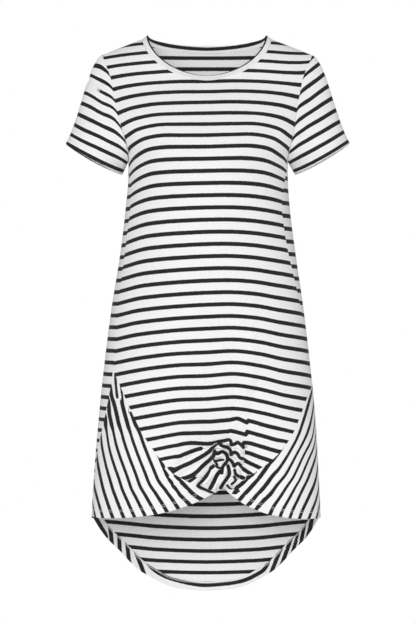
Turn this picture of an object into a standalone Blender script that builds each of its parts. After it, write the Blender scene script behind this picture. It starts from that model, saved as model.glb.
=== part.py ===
"""Striped jersey t-shirt dress with a knotted front hem, filled out as worn.

Every cut piece is one closed wall of cloth. The panels lie on one hollow form that is built
through rounded sections, so neighbours share their seam line and stand a seam gap apart. The
wearer faces -Y, left and right are the wearer's (left is +X), and the origin is at the shoulders.
"""
import math

import bpy
import numpy as np

# Driving dimensions, in metres and degrees.
CLOTH = 0.0012            # wall of one layer of jersey
HEM_EXTRA = 0.0010        # second layer where a hem is turned up
SEAM_GAP = 0.0003         # clear distance between two pieces at a seam
GAP_MARGIN = 1.35         # keeps that distance where a section turns quickly
ROUNDNESS = 2.2           # exponent of the body's superelliptic sections

SHOULDER_TIP_HEIGHT = -0.034
ARMPIT_HEIGHT = -0.233
SHOULDER_RISE = 0.0512    # height that the shoulder line would reach with no rounding
SHOULDER_FALL = 0.4215    # fall of the shoulder line for each metre outwards
SHOULDER_ROUNDING = 0.060
SHOULDER_ROLL = 0.065     # height over which front and back round over to the shoulder seam
SHOULDER_SEAM_DROP = 0.000006   # this far below the shoulder line, a panel is half a gap off it

NECK_HALF_WIDTH = 0.119
NECK_POINT_HEIGHT = -0.005
NECK_FRONT_DROP = 0.083
NECK_BACK_DROP = 0.019
NECK_FRONT_EXPONENT = 1.8
NECK_BACK_EXPONENT = 2.0
BAND_HALF_WIDTH = 0.109   # half of the neck opening inside the band
BAND_TOP_HEIGHT = 0.0025
BAND_FRONT_DROP = 0.0805
BAND_BACK_DROP = 0.0130
BAND_LEAN = 0.86          # the band's edge stands this much closer to the neck's middle line
BAND_THICKNESS = 0.0024
BAND_SEAM_RISE = 0.0009   # from the neck seam to the band's lower edge

SIDE_HEM_HEIGHT = -0.889
FRONT_HEM_RISE = 0.063    # notch over the hem at the centre front
NOTCH_X = 0.030
NOTCH_REACH = {"right": 0.090, "left": 0.056}
TAIL_DROP = 0.1515        # back tail below the side hem
BACK_TURN_UP = 0.020
FRONT_TURN_UP = 0.015
SEAM_END_HEIGHT = -0.840  # curved seams reach the hem here
CORNER_CUT = 0.3          # share of a side panel's first row that its top corner leaves out
PANEL_TOP = {"right": -0.616, "left": -0.642}

KNOT_X = 0.034
KNOT_HEIGHT = -0.792
KNOT_PULL_WIDTH = 0.095
GATHERS = 13              # soft gathers that fan out from the knot
GATHER_DEPTH = 0.0022
GATHER_START = (0.036, 0.056)     # distances from the knot's middle over which they rise
GATHER_END = (0.060, 0.150)       # and over which they die out
GATHER_SIDES = (-0.3, 0.2)        # no gathers under the knot: limits of up over distance
CREASE_START = (0.0, 0.5)         # shares of a crease's length over which it deepens
CREASE_END = (0.9, 1.1)

EVEN_OUT = (-0.060, -0.040, -0.020, 0.0, 0.020, 0.040, 0.060)
EVEN_OUT_END = -0.790
EDGE_HOLD = 5             # how quickly a panel's columns leave the swings of its edge
TOP_HOLD = 6              # how quickly a panel's rows leave the dip of its upper edge
HEM_HOLD = 3              # how late they take up the dip of its hem
EVEN_COLUMNS_FROM = 0.16  # share of a panel's length below which its columns are even

SLEEVE_LEAVE = (0.92, -0.39)      # direction across and up in which a sleeve leaves the shoulder
SLEEVE_SPRING = 0.5               # how far it follows that direction, as a share of its length
SLEEVE_HEM_BOW = 0.003            # the hem's front and back hang this far below its corners

ARMHOLE_ROWS = 12
SIDE_ROWS = 12
SKIRT_ROWS = 14
SHOULDER_COLUMNS = 4
NECK_COLUMNS = 20
PANEL_COLUMNS = 9
SLEEVE_ROWS = 7
BAND_SEGMENTS = 2 * NECK_COLUMNS

SIDES = {"right": -1, "left": 1}

# Body sections from above the shoulders to the tail.
SECTION_COLUMNS = ("height", "half_right", "half_left", "depth_front", "depth_back")
SECTIONS = [
    (0.030, 0.2280, 0.2280, 0.032, 0.036),
    (-0.034, 0.2186, 0.2197, 0.043, 0.062),
    (-0.082, 0.2015, 0.2010, 0.056, 0.086),
    (-0.128, 0.1910, 0.1904, 0.080, 0.099),
    (-0.170, 0.1760, 0.1798, 0.099, 0.105),
    (-0.200, 0.1590, 0.1660, 0.111, 0.106),
    (-0.220, 0.1480, 0.1530, 0.1155, 0.105),
    (-0.233, 0.1450, 0.1490, 0.117, 0.104),
    (-0.266, 0.1455, 0.1495, 0.1195, 0.101),
    (-0.311, 0.1495, 0.1525, 0.120, 0.098),
    (-0.400, 0.1600, 0.1635, 0.120, 0.097),
    (-0.500, 0.1760, 0.1780, 0.120, 0.103),
    (-0.600, 0.1890, 0.1900, 0.119, 0.109),
    (-0.700, 0.1995, 0.2000, 0.118, 0.113),
    (-0.800, 0.2080, 0.2060, 0.117, 0.116),
    (-0.890, 0.2130, 0.2100, 0.116, 0.118),
    (-1.060, 0.2150, 0.2120, 0.116, 0.120),
]

# Armhole edges as bearings in degrees, from the centre front and from the centre back.
ARMHOLE_COLUMNS = ("height", "front_bearing", "back_bearing")
ARMHOLE = [
    (-0.034, 62.0, 62.0),
    (-0.082, 61.0, 63.5),
    (-0.128, 61.0, 65.0),
    (-0.170, 63.0, 67.0),
    (-0.200, 68.0, 71.0),
    (-0.220, 76.5, 78.5),
    (-0.229, 82.5, 85.0),
    (-0.233, 88.0, 92.0),
]

# Side seams as bearings in degrees from the centre front.
SIDE_SEAM_COLUMNS = ("height", "right", "left")
SIDE_SEAM = [
    (-0.233, 88.0, 88.0),
    (-0.266, 78.0, 73.0),
    (-0.326, 69.0, 62.5),
    (-0.377, 69.5, 63.5),
    (-0.440, 69.0, 68.4),
    (-0.500, 67.0, 75.0),
    (-0.560, 64.5, 86.0),
    (-0.603, 63.5, 90.0),
    (-0.644, 64.7, 90.0),
    (-0.686, 67.7, 90.0),
    (-0.729, 72.6, 90.0),
    (-0.768, 78.5, 90.0),
    (-0.820, 83.0, 90.0),
    (-0.889, 88.0, 90.0),
]

# Curved seams between the front and its side panels, as distances across.
CURVED_SEAM_COLUMNS = ("height", "right", "left")
CURVED_SEAM = [
    (-0.642, -0.1580, 0.1935),
    (-0.670, -0.1455, 0.1810),
    (-0.700, -0.1310, 0.1690),
    (-0.730, -0.1155, 0.1555),
    (-0.760, -0.0950, 0.1345),
    (-0.785, -0.0750, 0.1080),
    (-0.800, -0.0605, 0.0850),
    (-0.815, -0.0360, 0.0670),
    (-0.830, -0.0100, 0.0505),
    (-0.840, 0.0065, 0.0440),
]

# How far the knot draws the centre front inwards.
PULL_COLUMNS = ("height", "pull")
PULL = [
    (-0.430, 0.000),
    (-0.560, 0.004),
    (-0.640, 0.013),
    (-0.700, 0.024),
    (-0.755, 0.036),
    (-0.800, 0.042),
    (-0.850, 0.043),
    (-0.900, 0.040),
]

# Long soft creases of the front that rise from the knot:
# top x, top height, low x, low height, depth, half width.
CREASES = [
    (0.084, -0.520, 0.046, -0.725, 0.0035, 0.011),
    (0.104, -0.600, 0.058, -0.735, 0.0025, 0.009),
    (-0.070, -0.640, -0.012, -0.752, 0.0025, 0.012),
]

# Drop of the back hem at a distance across, both as shares.
TAIL_COLUMNS = ("across", "drop")
TAIL = [
    (-0.20, 0.980),
    (0.00, 1.000),
    (0.20, 0.980),
    (0.35, 0.930),
    (0.50, 0.820),
    (0.60, 0.740),
    (0.68, 0.635),
    (0.77, 0.485),
    (0.88, 0.310),
    (0.95, 0.150),
    (1.00, 0.000),
]

# Corners of the sleeve hems: side, outer x, outer height, inner x, inner height, half depth.
SLEEVES = [
    ("right", -0.2610, -0.198, -0.1565, -0.2550, 0.043),
    ("left", 0.2640, -0.197, 0.1625, -0.2550, 0.043),
]

# The knot's outline round its middle, clockwise from above, and its strands as ridges over it.
KNOT_OUTLINE_COLUMNS = ("bearing", "reach")
KNOT_OUTLINE = [
    (0, 0.0510),
    (11, 0.0530),
    (25, 0.0530),
    (42, 0.0490),
    (62, 0.0380),
    (90, 0.0290),
    (122, 0.0300),
    (145, 0.0350),
    (163, 0.0405),
    (181, 0.0370),
    (194, 0.0400),
    (207, 0.0520),
    (223, 0.0560),
    (239, 0.0625),
    (247, 0.0460),
    (267, 0.0310),
    (292, 0.0290),
    (311, 0.0360),
    (329, 0.0430),
    (344, 0.0490),
    (360, 0.0510),
]
KNOT_HEIGHT_OVER_CLOTH = 0.020
KNOT_EDGE = 0.0030
KNOT_CLEARANCE = 0.0008
KNOT_DOME = 2.4           # exponent of the lump's roundness
KNOT_STRANDS = 5
KNOT_STRAND_DEPTH = 0.0028
KNOT_TWIST = 3.0          # turn of the strands from the middle to the edge, in radians
KNOT_RINGS = 7
KNOT_SPOKES = 48

WHITE = (0.86, 0.86, 0.86)
FABRIC_ROUGHNESS = 0.9


def column(table, names, name):
    """One named column of a table, turned so that its first column rises."""
    place = names.index(name)
    values = np.array([row[place] for row in table], dtype=float)
    return values[::-1] if table[0][0] > table[-1][0] else values


def smooth(table, names, name):
    """A monotone cubic through one column of a table, read by the table's first column."""
    x = column(table, names, names[0])
    y = column(table, names, name)
    step = np.diff(x)
    slope = np.diff(y) / step
    tangent = np.zeros_like(y)
    tangent[0] = slope[0]
    tangent[-1] = slope[-1]
    for k in range(1, len(x) - 1):
        if slope[k - 1] * slope[k] > 0:
            before = 2 * step[k] + step[k - 1]
            after = step[k] + 2 * step[k - 1]
            tangent[k] = (before + after) / (before / slope[k - 1] + after / slope[k])

    def read(value):
        value = np.clip(value, x[0], x[-1])
        k = np.clip(np.searchsorted(x, value) - 1, 0, len(x) - 2)
        t = (value - x[k]) / step[k]
        return ((2 * t ** 3 - 3 * t ** 2 + 1) * y[k] + (t ** 3 - 2 * t ** 2 + t) * step[k] * tangent[k]
                + (3 * t ** 2 - 2 * t ** 3) * y[k + 1] + (t ** 3 - t ** 2) * step[k] * tangent[k + 1])

    return read


HALF = {side: smooth(SECTIONS, SECTION_COLUMNS, "half_" + side) for side in SIDES}
DEPTH_FRONT = smooth(SECTIONS, SECTION_COLUMNS, "depth_front")
DEPTH_BACK = smooth(SECTIONS, SECTION_COLUMNS, "depth_back")
ARMHOLE_FRONT = smooth(ARMHOLE, ARMHOLE_COLUMNS, "front_bearing")
ARMHOLE_BACK = smooth(ARMHOLE, ARMHOLE_COLUMNS, "back_bearing")
SEAM_BEARING = {side: smooth(SIDE_SEAM, SIDE_SEAM_COLUMNS, side) for side in SIDES}
KNOT_PULL = smooth(PULL, PULL_COLUMNS, "pull")
TAIL_SHARE = smooth(TAIL, TAIL_COLUMNS, "drop")


def smoothstep(low, high, value):
    t = np.clip((value - low) / (high - low), 0, 1)
    return t * t * (3 - 2 * t)


def shoulder_height(x):
    """Height of the shoulder line, along which the front and the back meet."""
    return SHOULDER_RISE - SHOULDER_FALL * np.sqrt(x ** 2 + SHOULDER_ROUNDING ** 2)


def gather_swell(x, height):
    """Strength of the gathers: full just outside the knot, over and beside it."""
    across = x - KNOT_X
    up = height - KNOT_HEIGHT
    reach = np.hypot(across, up)
    near = smoothstep(*GATHER_START, reach) * (1 - smoothstep(*GATHER_END, reach))
    return near * smoothstep(*GATHER_SIDES, up / np.maximum(reach, CLOTH))


def fold_relief(x, height):
    """How far gathers and creases stand out of the front's smooth form."""
    spoke = np.arctan2(x - KNOT_X, height - KNOT_HEIGHT)
    relief = GATHER_DEPTH * gather_swell(x, height) * np.cos(GATHERS * spoke)
    for top_x, top_height, low_x, low_height, depth, half_width in CREASES:
        along = (top_height - height) / (top_height - low_height)
        line_x = top_x + (low_x - top_x) * along
        fade = smoothstep(*CREASE_START, along) * (1 - smoothstep(*CREASE_END, along))
        relief -= depth * fade * np.exp(-((x - line_x) / half_width) ** 2)
    return relief


def body_point(bearing, height):
    """Point of the body's outer face; bearing 0 is the centre front, pi/2 the left side."""
    bearing, height = np.broadcast_arrays(np.asarray(bearing, float), np.asarray(height, float))
    sine = np.sin(bearing)
    half = np.where(sine > 0, HALF["left"](height), HALF["right"](height))
    x = half * sine
    round_off = (1 - np.abs(sine) ** ROUNDNESS) ** (1 / ROUNDNESS)
    below = np.clip((shoulder_height(x) - height) / SHOULDER_ROLL, 0, 1)
    roll = np.sqrt(1 - (1 - below) ** 2)
    pull = KNOT_PULL(height) * np.exp(-((x - KNOT_X) / KNOT_PULL_WIDTH) ** 2)
    front = -(DEPTH_FRONT(height) * roll - pull + fold_relief(x, height)) * round_off
    back = DEPTH_BACK(height) * round_off * roll
    y = np.where(np.cos(bearing) > 0, front, back)
    return np.stack([x, y, height], axis=-1)


def body_normal(bearing, height):
    """Outward unit normal of the body's face."""
    turn = 0.002
    drop = 0.0005
    across = body_point(bearing + turn, height) - body_point(bearing - turn, height)
    down = body_point(bearing, height - drop) - body_point(bearing, height)
    normal = np.cross(down, across)
    return normal / np.linalg.norm(normal, axis=-1, keepdims=True)


def bearing_at(x, height):
    """Bearing on the front for a distance across."""
    half = np.where(x > 0, HALF["left"](height), HALF["right"](height))
    return np.arcsin(np.clip(x / half, -1, 1))


def seam_heights(side, last):
    """Heights of the vertices down a panel's edge: armhole, side seam and skirt."""
    turn = np.linspace(0, np.pi, ARMHOLE_ROWS + 1)[:-1]
    drop = SHOULDER_TIP_HEIGHT - ARMPIT_HEIGHT
    armhole = SHOULDER_TIP_HEIGHT - drop * (1 - np.cos(turn)) / 2
    upper = np.linspace(ARMPIT_HEIGHT, PANEL_TOP[side], SIDE_ROWS + 1)[:-1]
    skirt = np.linspace(PANEL_TOP[side], last, SKIRT_ROWS + 1)
    return np.array([*armhole, *upper, *skirt])


def curved_seam_bearing(side, height):
    """Bearing of the seam between the front and one of its side panels."""
    top = PANEL_TOP[side]
    corner = body_point(SIDES[side] * np.radians(SEAM_BEARING[side](top)), top)[0]
    place = CURVED_SEAM_COLUMNS.index(side)
    rows = [(row[0], row[place]) for row in CURVED_SEAM if row[0] < top - 0.01]
    seam = smooth([(top, corner), *rows], ("height", "x"), "x")
    return bearing_at(seam(height), height)


def front_edge(side, height):
    """Signed bearing of the front's edge on one side."""
    arm = np.radians(ARMHOLE_FRONT(height))
    seam = np.radians(SEAM_BEARING[side](height))
    upper = SIDES[side] * np.where(height > ARMPIT_HEIGHT, arm, seam)
    return np.where(height >= PANEL_TOP[side], upper, curved_seam_bearing(side, height))


def back_edge(side, height):
    """Bearing of the back's edge on one side, counted round by the left."""
    arm = np.pi - np.radians(ARMHOLE_BACK(height))
    seam = np.radians(SEAM_BEARING[side](height))
    left = np.where(height > ARMPIT_HEIGHT, arm, seam)
    return left if side == "left" else 2 * np.pi - left


def gap_bearing(height):
    """Half a seam gap, as a bearing."""
    return 0.5 * SEAM_GAP / HALF["left"](height) * GAP_MARGIN


def neck_seam_height(x, drop, exponent):
    inside = np.clip(1 - (np.abs(x) / NECK_HALF_WIDTH) ** exponent, 0, 1)
    return NECK_POINT_HEIGHT - drop * inside ** (1 / exponent)


def front_hem_height(x):
    """Front hem: level at the sides, rising to a notch at the knot."""
    away = x - NOTCH_X
    reach = np.where(away < 0, NOTCH_REACH["right"], NOTCH_REACH["left"])
    return SIDE_HEM_HEIGHT + FRONT_HEM_RISE * np.exp(-np.abs(away) / reach)


def back_hem_height(bearing):
    return SIDE_HEM_HEIGHT - TAIL_DROP * TAIL_SHARE(np.abs(np.sin(bearing)))


def top_line(drop, exponent):
    """Points of a panel's upper edge in x, from the right shoulder tip to the left one."""
    tip_right = body_point(front_edge("right", SHOULDER_TIP_HEIGHT), SHOULDER_TIP_HEIGHT)[0]
    tip_left = body_point(front_edge("left", SHOULDER_TIP_HEIGHT), SHOULDER_TIP_HEIGHT)[0]
    right = np.linspace(tip_right, -NECK_HALF_WIDTH, SHOULDER_COLUMNS + 1)[:-1]
    turn = np.linspace(-np.pi / 2, np.pi / 2, NECK_COLUMNS + 1)
    neck = NECK_HALF_WIDTH * np.sin(turn)
    left = np.linspace(NECK_HALF_WIDTH, tip_left, SHOULDER_COLUMNS + 1)[1:]
    x = np.array([*right, *neck, *left])
    in_neck = np.abs(x) <= NECK_HALF_WIDTH
    height = np.where(in_neck, neck_seam_height(x, drop, exponent), shoulder_height(x))
    return x, np.minimum(height, shoulder_height(x)) - SHOULDER_SEAM_DROP


def steady(edge, height):
    """An edge's bearing with its quick swings evened out, for the columns away from it."""
    spread = smoothstep(EVEN_OUT_END, EVEN_OUT_END + 0.1, height)
    return sum(edge(height + shift * spread) for shift in EVEN_OUT) / len(EVEN_OUT)


def bearings_between(edges, edge_heights, share):
    """Bearings at shares of the way between two edges, both set in by half a seam gap."""
    low, high = (edge(heights)[:, None] for edge, heights in zip(edges, edge_heights))
    calm_low, calm_high = (steady(edge, heights)[:, None] for edge, heights in zip(edges, edge_heights))
    gap_low, gap_high = (gap_bearing(heights)[:, None] for heights in edge_heights)
    way = np.sign(high - low)
    bearing = calm_low + share * (calm_high - calm_low)
    bearing += (low + way * gap_low - calm_low) * (1 - share) ** EDGE_HOLD
    return bearing + (high - way * gap_high - calm_high) * share ** EDGE_HOLD


def panel_grid(top_x, top_height, edges, edge_heights, hem_height):
    """Bearings and heights of a panel's vertices between two edges, in rows from the top.

    Rows run level between the two edges once they have left the upper edge, and dip towards the
    hem. Columns start at the upper edge's points and soon stand evenly apart.
    """
    low, high = (edge(heights[0]) for edge, heights in zip(edges, edge_heights))
    half = np.where(top_x > 0, HALF["left"](top_height), HALF["right"](top_height))
    bearing_top = np.arcsin(np.clip(top_x / half, -1, 1))
    bearing_top = np.where(low > np.pi / 2, np.pi - bearing_top, bearing_top)
    share_top = (bearing_top - low) / (high - low)
    share_top[0], share_top[-1] = 0, 1
    even = np.linspace(0, 1, len(top_x))
    parts = [(heights[0] - heights) / (heights[0] - heights[-1]) for heights in edge_heights]
    part = parts[0][:, None] * (1 - even) + parts[1][:, None] * even
    level = edge_heights[0][:, None] * (1 - even) + edge_heights[1][:, None] * even
    settled = 1 - np.clip(1 - part / EVEN_COLUMNS_FROM, 0, 1) ** 2
    share = share_top * (1 - settled) + even * settled
    bearing = bearings_between(edges, edge_heights, share)
    bearing[0, 1:-1] = bearing_top[1:-1]
    bottom = hem_height(bearing[-1])
    bottom[0], bottom[-1] = edge_heights[0][-1], edge_heights[1][-1]
    height = level + (top_height - level[0]) * (1 - part) ** TOP_HOLD
    height += (bottom - level[-1]) * part ** HEM_HOLD
    return bearing, height


def wall(name, outer, inner, closed=False):
    """A closed solid between an outer and an inner grid of points."""
    rows, columns = outer.shape[:2]
    vertices = [*outer.reshape(-1, 3), *inner.reshape(-1, 3)]
    second = rows * columns
    spans = columns if closed else columns - 1

    def at(row, place):
        return row * columns + place % columns

    faces = []
    for row in range(rows - 1):
        for place in range(spans):
            a, b = at(row, place), at(row + 1, place)
            c, d = at(row + 1, place + 1), at(row, place + 1)
            # Both faces of the wall are split along the same diagonal, so it stays open between.
            faces += [(a, b, c), (a, c, d)]
            faces += [(second + c, second + b, second + a), (second + d, second + c, second + a)]
    for place in range(spans):
        a, b = at(0, place), at(0, place + 1)
        faces.append((a, b, second + b, second + a))
        a, b = at(rows - 1, place), at(rows - 1, place + 1)
        faces.append((b, a, second + a, second + b))
    if not closed:
        for row in range(rows - 1):
            a, b = at(row, 0), at(row + 1, 0)
            faces.append((b, a, second + a, second + b))
            a, b = at(row, columns - 1), at(row + 1, columns - 1)
            faces.append((a, b, second + b, second + a))
    return add_piece(name, vertices, faces)


def cloth_material(name):
    """Plain matt jersey."""
    material = bpy.data.materials.new(name + "_jersey")
    material.use_nodes = True
    shader = material.node_tree.nodes["Principled BSDF"]
    shader.inputs["Base Color"].default_value = (*WHITE, 1)
    shader.inputs["Roughness"].default_value = FABRIC_ROUGHNESS
    shader.inputs["Metallic"].default_value = 0
    return material


def add_piece(name, vertices, faces):
    mesh = bpy.data.meshes.new(name)
    mesh.from_pydata([tuple(float(value) for value in vertex) for vertex in vertices], [], faces)
    mesh.materials.append(cloth_material(name))
    mesh.shade_smooth()
    mesh.set_sharp_from_angle(angle=math.radians(40))
    piece = bpy.data.objects.new(name, mesh)
    bpy.context.scene.collection.objects.link(piece)
    return piece


def body_wall(name, bearing, height, hem_height, turn_up, corner_cut=0.0):
    """A wall on the body, thicker inside along its turned-up hem.

    The corner cut is the share of the first row that a panel with a pointed top leaves out.
    """
    outer = body_point(bearing, height)
    normal = body_normal(bearing, height)
    in_hem = 1 - smoothstep(turn_up * 0.9, turn_up * 1.4, height - hem_height)
    thickness = CLOTH + HEM_EXTRA * in_hem
    inner = outer - normal * thickness[..., None]
    outer[0] += (outer[1] - outer[0]) * corner_cut
    inner[0] += (inner[1] - inner[0]) * corner_cut
    return wall(name, outer, inner)


def make_front():
    x, top = top_line(NECK_FRONT_DROP, NECK_FRONT_EXPONENT)

    def hem(bearing):
        return front_hem_height(body_point(bearing, SEAM_END_HEIGHT)[..., 0])

    edges = [lambda z: front_edge("right", z), lambda z: front_edge("left", z)]
    heights = [seam_heights(side, SEAM_END_HEIGHT) for side in SIDES]
    bearing, height = panel_grid(x, top, edges, heights, hem)
    hem_line = np.broadcast_to(height[-1], height.shape)
    body_wall("front", bearing, height, hem_line, FRONT_TURN_UP)


def make_back():
    x, top = top_line(NECK_BACK_DROP, NECK_BACK_EXPONENT)
    edges = [lambda z: back_edge("right", z), lambda z: back_edge("left", z)]
    heights = [seam_heights(side, SIDE_HEM_HEIGHT) for side in SIDES]
    bearing, height = panel_grid(x, top, edges, heights, back_hem_height)
    hem_line = np.broadcast_to(height[-1], height.shape)
    body_wall("back", bearing[:, ::-1], height[:, ::-1], hem_line[:, ::-1], BACK_TURN_UP)


def make_side_front(side):
    """A lower side panel between the side seam and the curved seam."""
    seam = np.linspace(PANEL_TOP[side], SIDE_HEM_HEIGHT, SKIRT_ROWS + 1)[:, None]
    curve = np.linspace(PANEL_TOP[side], SEAM_END_HEIGHT, SKIRT_ROWS + 1)[:, None]
    share = np.linspace(0, 1, PANEL_COLUMNS + 1)[None, :]
    down = np.linspace(0, 1, SKIRT_ROWS + 1)[:, None]
    sign = SIDES[side]
    outer_bearing = sign * np.radians(SEAM_BEARING[side](seam)) - sign * gap_bearing(seam)
    inner_bearing = curved_seam_bearing(side, curve) + sign * gap_bearing(curve)
    bearing = outer_bearing + (inner_bearing - outer_bearing) * share
    height = seam + (curve - seam) * share
    hem = front_hem_height(body_point(bearing[-1:], height[-1:])[..., 0])
    sag = hem - height[-1:]
    sag[0, 0] = sag[0, -1] = 0
    height = height + sag * down ** 2
    hem_line = np.broadcast_to(height[-1], height.shape)
    if side == "left":
        bearing, height, hem_line = bearing[:, ::-1], height[:, ::-1], hem_line[:, ::-1]
    body_wall("side_front_" + side, bearing, height, hem_line, FRONT_TURN_UP, CORNER_CUT)


def armhole_loop(side):
    """Points and normals round an armhole: tip, front, armpit, back."""
    heights = seam_heights(side, SIDE_HEM_HEIGHT)[:ARMHOLE_ROWS + 1]
    front = front_edge(side, heights)
    back = back_edge(side, heights)
    front[-1] = SIDES[side] * np.radians(SEAM_BEARING[side](ARMPIT_HEIGHT))
    points = [*body_point(front, heights), *body_point(back, heights)[-2:0:-1]]
    normals = [*body_normal(front, heights), *body_normal(back, heights)[-2:0:-1]]
    points, normals = np.array(points), np.array(normals)
    normals[0] = [SIDES[side] * SHOULDER_FALL, 0, 1]
    return points, normals / np.linalg.norm(normals, axis=1, keepdims=True)


def make_sleeve(side, outer_x, outer_height, inner_x, inner_height, half_depth):
    """A short sleeve from the armhole's loop to the round hem."""
    start, start_normal = armhole_loop(side)
    count = len(start)
    half = ARMHOLE_ROWS
    run = np.linalg.norm(np.diff(start, axis=0, append=start[:1]), axis=1)
    place = np.concatenate([[0], np.cumsum(run)[:-1]])
    middle = place[half]
    total = run.sum()
    front_turn = np.pi * place / middle
    back_turn = np.pi + np.pi * (place - middle) / (total - middle)
    turn = np.where(np.arange(count) <= half, front_turn, back_turn)
    outer = np.array([outer_x, 0, outer_height])
    inner = np.array([inner_x, 0, inner_height])
    centre = (outer + inner) / 2
    reach = (outer - inner) / 2
    end = centre + np.cos(turn)[:, None] * reach
    end[:, 1] -= np.sin(turn) * half_depth
    axis = np.cross(reach, [0, 1, 0])
    axis *= -np.sign(axis[2]) / np.linalg.norm(axis)
    end += axis * SLEEVE_HEM_BOW * np.sin(turn)[:, None] ** 2
    shoulder = np.array([SIDES[side] * SLEEVE_LEAVE[0], 0, SLEEVE_LEAVE[1]])
    lower = (1 - np.cos(turn))[:, None] / 2
    leave = shoulder * (1 - lower) + axis * lower
    chord = np.linalg.norm(end - start, axis=1)[:, None]
    # Over the arm the sleeve carries on from the body's cloth, and under it hangs outside it.
    seam_step = leave / np.linalg.norm(leave, axis=1, keepdims=True) * SEAM_GAP
    seam_step = seam_step + start_normal * smoothstep(0.4, 1.0, lower) * 2 * SEAM_GAP
    rows = []
    for k in range(SLEEVE_ROWS + 1):
        t = k / SLEEVE_ROWS
        rows.append((2 * t ** 3 - 3 * t ** 2 + 1) * (start + seam_step)
                    + (t ** 3 - 2 * t ** 2 + t) * leave * chord * SLEEVE_SPRING
                    + (3 * t ** 2 - 2 * t ** 3) * end + (t ** 3 - t ** 2) * axis * chord)
    grid = np.array(rows)
    around = np.roll(grid, -1, axis=1) - np.roll(grid, 1, axis=1)
    along = np.gradient(grid, axis=0)
    normal = np.cross(along, around)
    normal /= np.linalg.norm(normal, axis=-1, keepdims=True)
    if np.sum(normal[-1] * (grid[-1] - centre)) < 0:
        normal = -normal
    normal[0] += (start_normal - normal[0]) * (1 - smoothstep(0.25, 0.6, lower))
    normal[0] /= np.linalg.norm(normal[0], axis=-1, keepdims=True)
    thickness = np.full(grid.shape[:2], CLOTH)
    thickness[-1] += HEM_EXTRA
    inside = grid - normal * thickness[..., None]
    if side == "left":
        grid, inside = grid[:, ::-1], inside[:, ::-1]
    wall("sleeve_" + side, grid, inside, closed=True)


def make_neckband():
    """The folded band that stands on the neck seam."""
    turn = np.linspace(0, 2 * np.pi, BAND_SEGMENTS, endpoint=False)
    front = np.cos(turn) > 0
    seam_x = NECK_HALF_WIDTH * np.sin(turn)
    drop = np.where(front, NECK_FRONT_DROP, NECK_BACK_DROP)
    exponent = np.where(front, NECK_FRONT_EXPONENT, NECK_BACK_EXPONENT)
    seam_height = np.minimum(neck_seam_height(seam_x, drop, exponent), shoulder_height(seam_x))
    seam_bearing = bearing_at(seam_x, seam_height)
    seam_bearing = np.where(front, seam_bearing, np.pi - seam_bearing)
    seam = body_point(seam_bearing, seam_height)
    edge_x = BAND_HALF_WIDTH * np.sin(turn)
    edge_drop = np.where(front, BAND_FRONT_DROP, BAND_BACK_DROP)
    inside = np.clip(1 - (np.abs(edge_x) / BAND_HALF_WIDTH) ** exponent, 0, 1)
    edge_height = BAND_TOP_HEIGHT - edge_drop * inside ** (1 / exponent)
    edge = np.stack([edge_x, seam[:, 1] * BAND_LEAN, edge_height], axis=-1)
    up = edge - seam
    width = np.linalg.norm(up, axis=1, keepdims=True)
    up /= width
    around = np.roll(seam, -1, axis=0) - np.roll(seam, 1, axis=0)
    out = np.cross(around, up)
    out /= np.linalg.norm(out, axis=1, keepdims=True)
    out *= np.sign(np.sum(out[:, :2] * seam[:, :2], axis=1))[:, None]
    half = BAND_THICKNESS / 2
    base = seam - out * CLOTH / 2 + up * BAND_SEAM_RISE
    top = base + up * (width - BAND_SEAM_RISE)
    outer = np.array([base + out * half, base + (top - base) * 0.5 + out * half,
                      top - up * half + out * half, top + out * half * 0.3])
    inner = np.array([base - out * half, base + (top - base) * 0.5 - out * half,
                      top - up * half - out * half, top - out * half * 0.3])
    wall("neckband", outer[::-1], inner[::-1], closed=True)


def make_knot():
    """The knot as a rounded lump with its strands, made from the front's points moved out."""
    reach_at = smooth(KNOT_OUTLINE, KNOT_OUTLINE_COLUMNS, "reach")
    spokes = np.linspace(0, 2 * np.pi, KNOT_SPOKES, endpoint=False)
    rings = np.linspace(0, 1, KNOT_RINGS + 1)[1:]
    reach = reach_at(np.degrees(spokes))
    x = KNOT_X + rings[:, None] * reach * np.sin(spokes)
    height = KNOT_HEIGHT + rings[:, None] * reach * np.cos(spokes)
    bearing = bearing_at(x, height)
    base = body_point(bearing, height)
    normal = body_normal(bearing, height)
    dome = np.sqrt(np.clip(1 - rings ** KNOT_DOME, 0, 1))[:, None]
    ridges = np.cos(KNOT_STRANDS * spokes + KNOT_TWIST * rings[:, None])
    strands = KNOT_STRAND_DEPTH * ridges * np.sin(np.pi * rings)[:, None]
    rise = KNOT_EDGE + (KNOT_HEIGHT_OVER_CLOTH - KNOT_EDGE) * dome + strands
    room = KNOT_CLEARANCE + GATHER_DEPTH * gather_swell(x, height) / 2
    clear = base + normal * room[..., None]
    top = base + normal * rise[..., None]
    centre_bearing = bearing_at(np.array([KNOT_X]), np.array([KNOT_HEIGHT]))
    centre = body_point(centre_bearing, np.array([KNOT_HEIGHT]))
    out = body_normal(centre_bearing, np.array([KNOT_HEIGHT]))
    middle_low = centre[0] + out[0] * KNOT_CLEARANCE
    middle_top = centre[0] + out[0] * KNOT_HEIGHT_OVER_CLOTH
    vertices = [middle_top, *top.reshape(-1, 3), middle_low, *clear.reshape(-1, 3)]
    count = KNOT_SPOKES
    second = 1 + KNOT_RINGS * count
    faces = []
    for spoke in range(count):
        after = (spoke + 1) % count
        faces.append((0, 1 + after, 1 + spoke))
        faces.append((second, second + 1 + spoke, second + 1 + after))
        for ring in range(KNOT_RINGS - 1):
            a = 1 + ring * count + spoke
            b = 1 + ring * count + after
            quad = (a, b, b + count, a + count)
            faces.append(quad)
            faces.append(tuple(second + corner for corner in reversed(quad)))
        a = 1 + (KNOT_RINGS - 1) * count + spoke
        b = 1 + (KNOT_RINGS - 1) * count + after
        faces.append((a, b, second + b, second + a))
    add_piece("knot", vertices, faces)


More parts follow.
